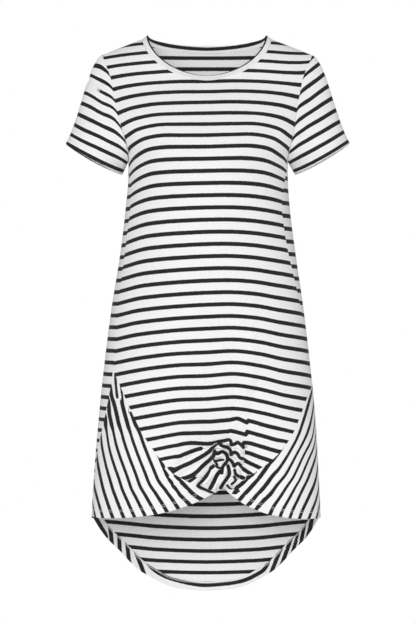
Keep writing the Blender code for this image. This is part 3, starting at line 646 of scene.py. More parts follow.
def jersey_material():
    material = bpy.data.materials.new("striped_cotton_jersey")
    material.use_nodes = True
    tree = material.node_tree
    shader = tree.nodes["Principled BSDF"]
    shader.inputs["Roughness"].default_value = 0.92
    shader.inputs["Specular IOR Level"].default_value = 0.25
    shader.inputs["Sheen Weight"].default_value = 0.06
    shader.inputs["Sheen Roughness"].default_value = 0.5
    place = add_node(tree, "ShaderNodeUVMap", {"uv_map": "cloth"})
    apart = add_node(tree, "ShaderNodeSeparateXYZ", links={0: place.outputs[0]})
    slub = add_node(tree, "ShaderNodeMapping", {"Scale": (3.0, 14.0, 1.0)}, {0: place.outputs[0]})
    uneven = add_node(tree, "ShaderNodeTexNoise", {"Scale": 1.0, "Detail": 3.0}, {0: slub.outputs[0]})
    white = add_node(tree, "ShaderNodeMix", {
        "data_type": "RGBA", 6: linear_colour("E6E6E6"), 7: linear_colour("F2F2F1")},
        {0: uneven.outputs[0]})
    black = add_node(tree, "ShaderNodeMix", {
        "data_type": "RGBA", 6: linear_colour("1B1B1B"), 7: linear_colour("272727")},
        {0: uneven.outputs[0]})
    ragged = add_node(tree, "ShaderNodeTexNoise", {"Scale": 9.0, "Detail": 2.0}, {0: place.outputs[0]})
    shift = add_node(tree, "ShaderNodeMath", {
        "operation": "MULTIPLY_ADD", 1: EDGE_RAGGED, 2: -EDGE_RAGGED / 2}, {0: ragged.outputs[0]})
    moved = add_node(tree, "ShaderNodeMath", {"operation": "ADD"},
                     {0: apart.outputs[1], 1: shift.outputs[0]})
    from_black = add_node(tree, "ShaderNodeMath", {"operation": "PINGPONG", 1: 0.5},
                          {0: moved.outputs[0]})
    half_black = BLACK_WIDTH / STRIPE_PERIOD / 2
    edge = add_node(tree, "ShaderNodeMapRange", {
        "interpolation_type": "SMOOTHSTEP", 1: half_black - EDGE_SOFT, 2: half_black + EDGE_SOFT},
        {0: from_black.outputs[0]})
    in_tuck = add_node(tree, "ShaderNodeAttribute", {"attribute_name": "in_tuck"})
    shown = add_node(tree, "ShaderNodeMath", {"operation": "MAXIMUM"},
                     {0: edge.outputs[0], 1: in_tuck.outputs[2]})
    both = add_node(tree, "ShaderNodeMix", {"data_type": "RGBA"},
                    {0: shown.outputs[0], 6: black.outputs[2], 7: white.outputs[2]})
    tree.links.new(both.outputs[2], shader.inputs["Base Color"])
    ribs = add_node(tree, "ShaderNodeTexWave", {
        "wave_type": "BANDS", "bands_direction": "X", "Scale": 2.9, "Distortion": 0.6,
        "Detail": 1.0}, {0: place.outputs[0]})
    loops = add_node(tree, "ShaderNodeTexWave", {
        "wave_type": "BANDS", "bands_direction": "Y", "Scale": 2.9, "Distortion": 0.8,
        "Detail": 1.0}, {0: place.outputs[0]})
    knit = add_node(tree, "ShaderNodeMath", {"operation": "ADD"},
                    {0: ribs.outputs[1], 1: loops.outputs[1]})
    bump = add_node(tree, "ShaderNodeBump", {"Strength": 0.12, "Distance": 0.0006},
                    {"Height": knit.outputs[0]})
    tree.links.new(bump.outputs[0], shader.inputs["Normal"])
    return material


striped_jersey = jersey_material()


def dress_piece(piece, node, material):
    piece.data.materials.append(material)
    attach(piece, "root")
    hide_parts(node)


# Creases of the front: depth, half width, and points across and above the knot's middle, all in
# millimetres. A trough's depth is less than nothing, and a ridge's more.
FRONT_CREASES = [
    (2.2, 7, [(47, 255), (47, 190), (41.5, 152), (32.5, 132), (27, 112), (20.5, 92), (10, 70), (6, 52)]),
    (-2.6, 4, [(59, 160), (50, 124), (39.5, 86), (37, 62), (33, 40), (32, 28), (29, 14)]),
    (-1.6, 5, [(-60, 36), (-30, 42), (-12, 47)]),
    (-2.4, 4.5, [(-88, 6), (-55, 26), (-33, 38), (-22, 44)]),
    (-2.6, 4.5, [(-85, -14), (-55, 5), (-36, 19), (-26, 29)]),
    (-2.6, 4.5, [(-84, -31), (-55, -14), (-38, -1), (-28, 9)]),
    (-2.0, 4, [(36, 22), (52, 14), (72, 6)]),
    (-2.0, 4, [(30, 10), (45, 2), (60, -4)]),
    (-1.8, 4, [(26, -6), (40, -14), (48, -18)]),
]
FRONT_CREASE_LINES = crease_lines(FRONT_CREASES)
FRONT_CREASE_REACH = (130, 290)       # the creases lie within these distances across and above


def crease_relief(across, up, lines):
    """How far creases along lines stand out of the form."""
    relief = np.zeros(np.shape(across))
    for depth, wide, line in lines:
        relief += depth / 1000 * np.exp(-(from_line(across, up, line)[0] / wide) ** 2)
    return relief


def front_relief(x, height):
    across, up = from_knot(x, height)
    relief = np.zeros(np.shape(across))
    near = (np.abs(across) < FRONT_CREASE_REACH[0]) & (up < FRONT_CREASE_REACH[1])
    relief[near] = crease_relief(across[near], up[near], FRONT_CREASE_LINES)
    return relief


def fold_under(hem, normal, up):
    """Rows of cloth that fold under a hem, as its two faces."""
    wide = CLOTH + SEAM_GAP / 2
    tight = SEAM_GAP / 2
    turn = np.linspace(0, np.pi, FOLD_ROWS + 1)[1:, None, None]
    face = hem - normal * wide * (1 - np.cos(turn)) - up * wide * np.sin(turn)
    lining = hem - normal * (wide - tight * np.cos(turn)) - up * tight * np.sin(turn)
    return face, lining


HEM_ROWS = (0.0015, 0.0045)       # from the turned-up cloth's raw edge to the rows of stitches
HEM_ROW_ENDS = 3                  # columns at a panel's sides that the rows leave out
ON_CLOTH = 0.0001                 # stitches stand this far out, measured at their middle


def turned_up(bearing, height, stripe, relief, width, inside_rows):
    """The rows that fold under a panel's hem and rise inside it, square to the hem.

    Also returns the lines outside and inside that the hem is sewn along.
    """
    at = bearing[-1], height[-1]
    hem = body_point(*at, relief)
    normal = body_normal(*at, relief)
    # how the face's points move with the bearing and with the height
    turn, lift = 0.002, 0.0005
    by_bearing = (body_point(at[0] + turn, at[1], relief) - body_point(at[0] - turn, at[1], relief))
    by_bearing /= 2 * turn
    by_height = (body_point(at[0], at[1] + lift, relief) - body_point(at[0], at[1] - lift, relief))
    by_height /= 2 * lift
    # the way square to the hem, as the bearing and height to turn and lift for each metre
    square = np.cross(np.gradient(hem, axis=0), normal)
    square *= np.sign(square[:, 2:]) / np.linalg.norm(square, axis=1, keepdims=True)
    grid = np.stack([by_bearing, by_height], axis=-1)
    turn_of, lift_of = np.einsum("kij,kj->ik", np.linalg.pinv(grid), square)
    # near the seams it gives way to the cloth's own direction, taken from a row above the hem
    above = -4
    back_bearing, back_height = bearing[above] - at[0], height[above] - at[1]
    back_length = np.linalg.norm(body_point(bearing[above], height[above], relief) - hem, axis=1)
    run = np.concatenate([[0], np.cumsum(np.linalg.norm(np.diff(hem, axis=0), axis=1))])
    inner = smoothstep(0, TURN_UP_ENDS, np.minimum(run, run[-1] - run))
    turn_of = turn_of * inner + back_bearing / back_length * (1 - inner)
    lift_of = lift_of * inner + back_height / back_length * (1 - inner)
    # how the stripes' count changes that way
    across_bearing, across_height = np.gradient(at[0]), np.gradient(at[1])
    across_stripe, back_stripes = np.gradient(stripe[-1]), stripe[above] - stripe[-1]
    area = back_bearing * across_height - back_height * across_bearing
    per_bearing = (back_stripes * across_height - back_height * across_stripe) / area
    per_height = (back_bearing * across_stripe - back_stripes * across_bearing) / area
    rise = per_bearing * turn_of + per_height * lift_of
    up = by_bearing * turn_of[:, None] + by_height * lift_of[:, None]
    up /= np.linalg.norm(up, axis=1, keepdims=True)
    face, lining = fold_under(hem, normal, up)
    risen = np.linspace(0, 1, TURN_UP_ROWS + 1)[1:, None] * width
    place = at[0] + turn_of * risen, at[1] + lift_of * risen
    inside, inside_normal = body_point(*place, relief), body_normal(*place, relief)
    under = -2 * CLOTH - SEAM_GAP - ON_CLOTH
    sewn_at = [*((row, ON_CLOTH) for row in HEM_ROWS), *((row, under) for row in inside_rows)]
    rows = []
    for from_edge, out in sewn_at:
        place = at[0] + turn_of * (width - from_edge), at[1] + lift_of * (width - from_edge)
        sewn = body_point(*place, relief) + body_normal(*place, relief) * out
        rows.append(sewn[HEM_ROW_ENDS:-HEM_ROW_ENDS])
    return (np.concatenate([face, inside - inside_normal * (2 * CLOTH + SEAM_GAP)]),
            np.concatenate([lining, inside - inside_normal * (CLOTH + SEAM_GAP)]),
            np.concatenate([np.tile(stripe[-1], (FOLD_ROWS, 1)), stripe[-1] - rise * risen]),
            rows)


def panel_shell(name, bearing, height, stripe, relief, across=None, turn_up=FRONT_TURN_UP,
                inside_rows=HEM_ROWS, drawn=None):
    """The shell of a body panel with its turned-up hem, from its grid of bearings and heights.

    Stripes given as lines can take over on the cloth that is turned up.
    """
    face = body_point(bearing, height, relief)
    lining = face - body_normal(bearing, height, relief) * CLOTH
    across = cloth_across(face) if across is None else across
    hem_face, hem_lining, hem_stripe, rows = turned_up(bearing, height, stripe, relief, turn_up,
                                                       inside_rows)
    if drawn:
        hem_stripe = drawn(hem_face)
    across = np.concatenate([across, np.broadcast_to(across[-1], hem_stripe.shape)])
    cloth = np.stack([across, np.concatenate([stripe, hem_stripe])], axis=-1)
    piece = cloth_shell(name, np.concatenate([face, hem_face]), np.concatenate([lining, hem_lining]),
                        cloth, cloth)
    return piece, rows


front_x, front_top = top_line(*NECK_FRONT)
front_edges = [lambda z: front_edge("right", z), lambda z: front_edge("left", z)]
close_from, far_rows, close_rows = KNOT_SHARES
skirt_shares = np.array([*np.linspace(0, close_from, far_rows + 1)[:-1],
                         *np.linspace(close_from, 1, close_rows + 1)])
front_heights = [seam_heights(side, SEAM_END, skirt_shares) for side in SIDES]
front_bearing, front_height = panel_grid(
    front_x, front_top, front_edges, front_heights,
    lambda bearing: front_hem_height(body_point(bearing, SEAM_END)[..., 0]))
front_cloth, _ = panel_shell("front_cloth", front_bearing, front_height,
                             front_stripe(front_bearing, front_height), front_relief)
dress_piece(front_cloth, "front", striped_jersey)

# ---------------------------------------------------------------------------------------------
# Back: one panel of the same jersey, longer than the front, with a rounded tail. Its stripes
# meet the front's at the side seams, and its hem is turned up inside and overlocked.
NECK_BACK = (0.019, 2.0)
TAIL_DROP = 0.1515
BACK_TURN_UP = {0: 0.0155, 0.070: 0.0155, 0.110: 0.0165, 0.140: 0.0175}     # by distance across
OVERLOCK_ROWS = (0.0006, 0.0016, 0.0026)    # from the raw edge, which is sewn over with thread
# distance across as a share: drop of the tail as a share
TAIL = {
    -0.20: 0.980, 0.00: 1.000, 0.20: 0.980, 0.35: 0.928, 0.50: 0.815, 0.60: 0.728, 0.68: 0.618,
    0.77: 0.470, 0.88: 0.300, 0.95: 0.147, 1.00: 0.000,
}
BACK_STRIPES = {
    0: -0.0125, 1: -0.0318, 2: -0.0511, 7: -0.1627, 13: -0.2966, 20: -0.4529, 28: -0.6315,
    34: -0.7655, 38: -0.8548, 39: -0.8772, 41: -0.9224, 43: -0.9662, 45: -1.0075, 47: -1.0480,
}
# Sag of the stripes below their level at the centre back, from the right side to the left.
BACK_SAG_BEARINGS = (-90, -67, -45, -25, 0, 25, 45, 67, 90)
BACK_SAG = {
    -0.03: (0, 0, 0, 0, 0, 0, 0, 0, 0),
    -0.25: (-24.5, -14.7, -6.9, -2, 0, -1, -3.4, -7.2, -12),
    -0.31: (-24.2, -14.5, -6.8, -2, 0, -1.1, -3.9, -8.4, -14),
    -0.40: (-23.5, -14.1, -6.6, -1.9, 0, -1.4, -5, -10.8, -18),
    -0.47: (-20.4, -12.2, -5.7, -1.6, 0, -1.4, -4.9, -10.6, -17.6),
    -0.55: (-17, -10.2, -4.8, -1.4, 0, -1.4, -5, -10.6, -17.7),
    -0.60: (-15, -9, -4.2, -1.2, 0, -1.4, -5, -10.8, -18),
    -0.65: (-12.5, -7.5, -3.5, -1, 0, -1.4, -5, -10.8, -18),
    -0.72: (-6, -3.6, -1.7, -0.5, 0, -0.6, -2.2, -4.8, -8),
    -0.78: (4.5, 4, 3, 1, 0, 1, 2.5, 3, 3),
    -0.90: (25, 20, 12, 4, 0, 4, 12, 20, 25),
    -1.04: (25, 18, 10, 3, 0, 3, 10, 18, 25),
}
TAIL_SHARE = through(TAIL)
BACK_COUNT = through({-height: number for number, height in BACK_STRIPES.items()})
BACK_SAG_AT = chart(BACK_SAG, BACK_SAG_BEARINGS)


def back_edge(side, height):
    arm = np.pi - np.radians(ARMHOLE_BACK(height))
    seam = np.radians(SEAM_BEARING[side](height))
    left = np.where(height > ARMPIT, arm, seam)
    return left if side == "left" else 2 * np.pi - left


def back_hem_height(bearing):
    return SIDE_HEM - TAIL_DROP * TAIL_SHARE(np.abs(np.sin(bearing)))


def back_stripe(bearing, height):
    sag = BACK_SAG_AT(height, 180 - np.degrees(bearing)) / 1000
    return BACK_COUNT(-(height - sag))


# The stripes on the turned-up cloth, as (count, points): the folded ones slant across it, and it
# is eased round the tail, where one stripe follows the hem. Points are millimetres across and height.
TAIL_STRIPES = [
    (40, [(-209.7, -889), (-203, -903.5), (-196, -917.5), (-189, -932)]),
    (40, [(199.5, -881), (196, -898.5), (192.5, -919.5), (187, -939)]),
    (41, [(-183.5, -898.5), (-182, -917.5), (-180, -938.5), (-178.5, -955.5)]),
    (41, [(185.5, -896), (181.5, -915.5), (178, -940), (174.5, -957.5)]),
    (42, [(-167, -915), (-166, -932), (-165, -958.5), (-163.5, -975.5)]),
    (42, [(172.5, -920), (169, -935.5), (163.5, -958.5), (160, -976)]),
    (43, [(-152.5, -936.5), (-150.5, -956), (-148, -978.5), (-145.5, -996)]),
    (43, [(160, -936), (154.5, -951.5), (145, -979), (139.5, -994.5)]),
    (44, [(-137.5, -956.5), (-132, -974), (-122.5, -999), (-117, -1016.5)]),
    (44, [(141.5, -956), (134, -973.5), (122.5, -1004.5), (117, -1020)]),
    (45, [(-115, -974.5), (-107.5, -994), (-79, -1014), (-31.5, -1028), (6.5, -1031), (64, -1023.5),
          (98, -1007.5), (111.5, -995.5), (119, -976.5)]),
]
TAIL_LINES = stripe_lines(TAIL_STRIPES)


def tail_stripe(points):
    return count_from_lines(points[..., 0] * 1000, points[..., 2] * 1000, TAIL_LINES, -1)


# Creases of the back, which hangs freely: soft drags in from under the arms, and long faint folds
# below the waist. Depth, half width, and points across and height, in millimetres.
BACK_CREASES = [
    (-2.4, 9, [(-134, -262), (-104, -292), (-68, -318), (-36, -332)]),
    (1.6, 10, [(-136, -292), (-100, -326), (-58, -354)]),
    (-2.0, 8, [(132, -256), (102, -284), (72, -303), (44, -310)]),
    (1.4, 9, [(134, -284), (98, -312), (66, -328)]),
    (-1.6, 16, [(-64, -430), (-70, -520), (-80, -610), (-88, -720)]),
    (1.9, 20, [(-18, -500), (-24, -600), (-36, -700), (-42, -790)]),
    (-1.7, 17, [(50, -455), (60, -540), (66, -650), (80, -735)]),
    (1.7, 15, [(112, -560), (118, -650), (126, -745)]),
]
BACK_CREASE_LINES = crease_lines(BACK_CREASES)


def back_relief(x, height):
    return crease_relief(x * 1000, height * 1000, BACK_CREASE_LINES)


# White spun polyester sewing thread: matt, and about as bright as the cloth beside it, so a row
# of stitches shows mainly where it crosses black. Its fibres' fluff is about 1 mm long.
def thread_material():
    material = bpy.data.materials.new("white_polyester_thread")
    material.use_nodes = True
    shader = material.node_tree.nodes["Principled BSDF"]
    shader.inputs["Roughness"].default_value = 0.6
    place = add_node(material.node_tree, "ShaderNodeTexCoord")
    fluff = add_node(material.node_tree, "ShaderNodeTexNoise", {"Scale": 900.0}, {0: place.outputs[3]})
    shade = add_node(material.node_tree, "ShaderNodeMix", {
        "data_type": "RGBA", 6: linear_colour("DADAD8"), 7: linear_colour("F4F4F2")},
        {0: fluff.outputs[0]})
    material.node_tree.links.new(shade.outputs[2], shader.inputs["Base Color"])
    return material


STITCH_SPACING = 0.0034
STITCH_LENGTH = 0.0025
STITCH_THICKNESS = 0.0006


def stitch_tree():
    """Geometry Nodes that lay one short round stitch after another along lines."""
    tree = bpy.data.node_groups.new("stitches", "GeometryNodeTree")
    tree.interface.new_socket("Geometry", in_out="INPUT", socket_type="NodeSocketGeometry")
    for name in ("Spacing", "Length", "Thickness"):
        tree.interface.new_socket(name, in_out="INPUT", socket_type="NodeSocketFloat")
    tree.interface.new_socket("Thread", in_out="INPUT", socket_type="NodeSocketMaterial")
    tree.interface.new_socket("Geometry", in_out="OUTPUT", socket_type="NodeSocketGeometry")
    given = tree.nodes.new("NodeGroupInput").outputs
    curve = add_node(tree, "GeometryNodeMeshToCurve", links={0: given["Geometry"]})
    points = add_node(tree, "GeometryNodeCurveToPoints", {"mode": "LENGTH"},
                      {"Curve": curve.outputs[0], "Length": given["Spacing"]})
    half = add_node(tree, "ShaderNodeMath", {"operation": "MULTIPLY", 1: 0.5}, {0: given["Thickness"]})
    stitch = add_node(tree, "GeometryNodeMeshCylinder", {"Vertices": 6},
                      {"Radius": half.outputs[0], "Depth": given["Length"]})
    along = add_node(tree, "FunctionNodeAlignRotationToVector", {"axis": "Z"},
                     {"Vector": points.outputs["Tangent"]})
    laid = add_node(tree, "GeometryNodeInstanceOnPoints", links={
        "Points": points.outputs["Points"], "Instance": stitch.outputs["Mesh"],
        "Rotation": along.outputs[0]})
    real = add_node(tree, "GeometryNodeRealizeInstances", links={0: laid.outputs[0]})
    thread = add_node(tree, "GeometryNodeSetMaterial", links={
        "Geometry": real.outputs[0], "Material": given["Thread"]})
    tree.links.new(thread.outputs[0], tree.nodes.new("NodeGroupOutput").inputs[0])
    return tree


thread_white = thread_material()
stitches = stitch_tree()


def sew(name, lines):
    """Rows of stitches along lines of points, as one plain mesh."""
    first = np.cumsum([0, *(len(line) for line in lines)])
    edges = [(start + k, start + k + 1)
             for start, line in zip(first, lines) for k in range(len(line) - 1)]
    guide = new_mesh(name + "_lines", [point for line in lines for point in line], edges, [])
    maker = put_in_scene(name + "_lines", guide)
    sewing = maker.modifiers.new("sewing", "NODES")
    sewing.node_group = stitches
    values = {"Spacing": STITCH_SPACING, "Length": STITCH_LENGTH, "Thickness": STITCH_THICKNESS,
              "Thread": thread_white}
    for socket in stitches.interface.items_tree:
        if socket.in_out == "INPUT" and socket.name in values:
            sewing[socket.identifier] = values[socket.name]
    ready = maker.evaluated_get(bpy.context.evaluated_depsgraph_get())
    piece = put_in_scene(name, bpy.data.meshes.new_from_object(ready))
    maker.modifiers.remove(sewing)
    bpy.data.objects.remove(maker)
    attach(piece, "root")
    return piece


back_x, back_top = top_line(*NECK_BACK)
back_edges = [lambda z: back_edge("right", z), lambda z: back_edge("left", z)]
back_heights = [seam_heights(side, SIDE_HEM) for side in SIDES]
back_bearing, back_height = panel_grid(back_x, back_top, back_edges, back_heights, back_hem_height)
back_bearing, back_height = back_bearing[:, ::-1], back_height[:, ::-1]
back_turn_up = through(BACK_TURN_UP)(np.abs(body_point(back_bearing[-1], back_height[-1])[:, 0]))
back_cloth, back_rows = panel_shell("back_cloth", back_bearing, back_height,
                                    back_stripe(back_bearing, back_height), back_relief,
                                    turn_up=back_turn_up, inside_rows=OVERLOCK_ROWS,
                                    drawn=tail_stripe)
back_stitches = sew("back_stitches", back_rows)
dress_piece(back_cloth, "back", striped_jersey)

# ---------------------------------------------------------------------------------------------
# Side fronts: two lower panels whose cloth is turned so that its stripes run down the body.
# Each lies between the side seam and the curved seam that sweeps from the side to the knot.
SIDE_FRONT_COLUMNS = 44
SIDE_FRONT_ROWS = 90
CORNER_CUT = 0.3
SIDE_FRONT_SHARES = (0.0, 0.25, 0.5, 0.75, 1.0)
# share of the way down: count of stripes from the side seam to the curved seam
SIDE_FRONT_STRIPES = {
    "right": {
        0.0: (7.05, 7.1, 7.05, 6.9, 6.55),
        0.2: (5.2, 5.7, 6.25, 6.8, 7.2),
        0.4: (3.25, 4.2, 5.35, 6.55, 7.9),
        0.6: (1.85, 2.8, 4.35, 6.25, 8.55),
        0.8: (0.75, 1.75, 3.5, 6.2, 9.45),
        1.0: (-1.1, 0.75, 3.25, 6.85, 10.85),
    },
    "left": {
        0.0: (0.4, 0.1, -0.1, -0.2, -0.3),
        0.2: (2.25, 1.45, 0.85, 0.2, -0.4),
        0.4: (3.95, 3.0, 1.75, 0.7, -0.6),
        0.6: (5.35, 4.45, 3.25, 1.4, -0.9),
        0.8: (6.8, 5.5, 4.05, 1.45, -1.3),
        1.0: (8.35, 6.8, 4.75, 1.8, -1.4),
    },
}
# Stripes near the notch, as (count, points across and above the knot's middle in millimetres),
# the distances across over which they take over, and whether the count rises up or down.
NOTCH_STRIPES = {
    "right": [
        (9, [(-118, 11), (-109, -6.5), (-100, -22), (-91, -36), (-82, -48), (-73, -57.5), (-61, -69)]),
        (10, [(-99, -1), (-86, -17), (-82, -22), (-73, -31.5), (-64, -41), (-55, -49.5), (-46, -55),
              (-31, -63)]),
    ],
    "left": [
        (-2, [(46, -13), (39, -18.5), (32, -26), (26, -31.5), (19, -35.5), (12, -34)]),
        (-2, [(3, -41), (11, -44), (20, -44)]),
        (-1, [(107, 46), (98, 33.5), (89.5, 21.5), (80.5, 11), (71.5, -2), (62.5, -14.5), (53.5, -25.5),
              (44.5, -36), (39, -42), (32, -50), (24.5, -57.5), (15, -67)]),
        (0, [(107, 19.5), (98.5, 6.5), (89.5, -7), (80.5, -19.5), (71.5, -31.5), (62.5, -42),
             (53.5, -51.5), (44.5, -63), (35, -74)]),
        (1, [(107, -10), (98.5, -23), (89.5, -36), (80.5, -47), (71.5, -55.5), (62.5, -65.5), (53, -76)]),
    ],
}
NOTCH_REACH_ACROSS = {"right": (-112, -98), "left": (95, 80)}
NOTCH_REACH_COUNT = {"right": (8.35, 8.7), "left": (1.65, 1.3)}
COUNT_FALLS = {"right": -1, "left": 1}
# Stripes in the right panel's pointed top, placed in the same way, the heights over which they
# take over, and a thin extra one that the cloth's turn squeezes in after stripe 6.
TOP_STRIPES = {
    "right": [
        (4, [(-224, 102), (-219.5, 89), (-218.7, 74), (-216.7, 63), (-214.7, 52.5), (-212.5, 42)]),
        (5, [(-218, 135), (-214, 121.5), (-212.3, 107), (-211.4, 96), (-208.9, 85), (-206.5, 74),
             (-204, 63), (-201.3, 52.5), (-198.5, 42)]),
        (6, [(-214, 160), (-210.2, 145), (-207.6, 129), (-203.4, 118), (-200.2, 107), (-197.4, 96),
             (-195.1, 85), (-192, 74), (-189.1, 63), (-185.6, 52.5), (-182, 42)]),
        (7, [(-190.7, 145), (-188.9, 129), (-187.6, 118), (-184.9, 107), (-182, 96), (-178.7, 85),
             (-175.8, 74), (-172.7, 63), (-169.3, 52.5), (-165.5, 42)]),
        (8, [(-170, 100), (-163.5, 82), (-160, 74), (-156, 63), (-152.7, 52.5), (-149, 42)]),
    ],
}
TOP_REACH = (58, 78)
EXTRA_STRIPE = (6, [(-200, 176), (-200.2, 161.5), (-199.4, 150.6), (-198.2, 139.7), (-196.7, 128)])
EXTRA_NARROWER = 1.5


def make_side_front(side):
    seam = np.linspace(PANEL_TOP[side], SIDE_HEM, SIDE_FRONT_ROWS + 1)[:, None]
    curve = np.linspace(PANEL_TOP[side], SEAM_END, SIDE_FRONT_ROWS + 1)[:, None]
    share = np.linspace(0, 1, SIDE_FRONT_COLUMNS + 1)[None, :]
    down = np.linspace(0, 1, SIDE_FRONT_ROWS + 1)[:, None]
    sign = SIDES[side]
    gap = 0.5 * SEAM_GAP / HALF["left"](seam)
    outer_bearing = sign * np.radians(SEAM_BEARING[side](seam)) - sign * gap
    inner_bearing = curved_seam_bearing(side, curve) + sign * gap
    bearing = outer_bearing + (inner_bearing - outer_bearing) * share
    height = seam + (curve - seam) * share
    sag = front_hem_height(body_point(bearing[-1:], height[-1:])[..., 0]) - height[-1:]
    sag[0, 0] = sag[0, -1] = 0
    height = height + sag * down ** 2
    stripe = chart(SIDE_FRONT_STRIPES[side], SIDE_FRONT_SHARES)(down, share)
    across, up = from_knot(body_point(bearing, height)[..., 0], height)
    lines = stripe_lines(NOTCH_STRIPES[side])
    drawn = 1.0
    for reach, place in ((NOTCH_REACH_ACROSS[side], across), (NOTCH_REACH_COUNT[side], stripe)):
        drawn = drawn * smoothstep(0, 1, (place - reach[0]) / (reach[1] - reach[0]))
    stripe += drawn * (count_from_lines(across, up, lines, COUNT_FALLS[side]) - stripe)
    if side in TOP_STRIPES:
        lines = stripe_lines(TOP_STRIPES[side])
        drawn = smoothstep(*TOP_REACH, up)
        stripe += drawn * (count_from_lines(across, up, lines, COUNT_FALLS[side]) - stripe)
        number, points = EXTRA_STRIPE
        away = from_line(across, up, bent_line(points))[0] / 1000 * EXTRA_NARROWER / STRIPE_PERIOD
        beside = (stripe > number) & (away < 0.5)
        stripe = np.where(beside, np.minimum(stripe, number + away), stripe)
    if side == "left":
        bearing, height, stripe = bearing[:, ::-1], height[:, ::-1], stripe[:, ::-1]
    bearing[0] += (bearing[1] - bearing[0]) * CORNER_CUT
    height[0] += (height[1] - height[0]) * CORNER_CUT
    piece, rows = panel_shell("side_front_" + side + "_cloth", bearing, height, stripe, front_relief,
                              across=-height / STRIPE_PERIOD)
    stitching = sew("side_front_" + side + "_stitches", rows)
    dress_piece(piece, "side_front_" + side, striped_jersey)


for body_side in SIDES:
    make_side_front(body_side)

# ---------------------------------------------------------------------------------------------
# Sleeves: short set-in sleeves of the same jersey, sewn into the armholes and hemmed.
# Their stripes run parallel to the hem and bend down where the sleeve meets the seam.
SLEEVE_LEAVE = (0.92, -0.39)
SLEEVE_SPRING = 0.5
SLEEVE_HEM_BOW = 0.003
SLEEVE_ROWS = 80
SLEEVE_TURN_UP = 0.015
SLEEVE_TURNS = (0, 45, 90, 135, 180)      # round the sleeve, from its top to the underarm
# share of the way to the hem: count of stripes up from the hem
SLEEVE_STRIPES = {
    "right": {
        0.00: (9.00, 7.75, 5.35, 3.15, 0.95),
        0.25: (7.95, 6.30, 4.05, 2.35, 0.65),
        0.50: (5.25, 4.10, 2.80, 1.50, 0.35),
        0.75: (2.60, 2.10, 1.30, 0.60, -0.05),
        1.00: (-0.05, -0.10, -0.15, -0.20, -0.35),
    },
    "left": {
        0.00: (8.40, 6.90, 5.05, 2.95, 0.90),
        0.25: (6.65, 5.65, 4.05, 2.25, 0.65),
        0.50: (4.65, 3.85, 2.70, 1.45, 0.35),
        0.75: (2.30, 1.85, 1.25, 0.60, -0.05),
        1.00: (-0.25, -0.20, -0.20, -0.25, -0.40),
    },
}
SLEEVE_TUCK = {"right": 6.0}              # a soft tuck at the top hides this stripe
TUCK_DEPTH = 0.0024
TUCK_PLACE = (0.50, 0.40)                 # above the stripe, and its half width, in stripes
TUCK_END = (36, 46)                       # degrees round from the sleeve's top
TUCK_HIDES = (0.35, 0.6)                  # stripes from that one over which the hiding ends
# Shares of the way from the sleeve's top to the underarm over which its seam steps out, and over
# which its faces turn away from the body's.
STEP_OUT = (0.4, 1.0)
LEAVE_BODY = (0.25, 0.6)
# outer x and height, inner x and height, half depth of the round hem
SLEEVE_HEMS = {
    "right": (-0.2610, -0.198, -0.1565, -0.2550, 0.043),
    "left": (0.2640, -0.197, 0.1625, -0.2550, 0.043),
}


def armhole_loop(side):
    """Points and normals round an armhole: tip, front, armpit, back."""
    heights = seam_heights(side, SIDE_HEM)[:ARMHOLE_ROWS + 1]
    front = front_edge(side, heights)
    back = back_edge(side, heights)
    front[-1] = SIDES[side] * np.radians(SEAM_BEARING[side](ARMPIT))
    points = [*body_point(front, heights), *body_point(back, heights)[-2:0:-1]]
    normals = [*body_normal(front, heights), *body_normal(back, heights)[-2:0:-1]]
    points, normals = np.array(points), np.array(normals)
    normals[0] = [SIDES[side] * SHOULDER_FALL, 0, 1]
    return points, normals / np.linalg.norm(normals, axis=1, keepdims=True)


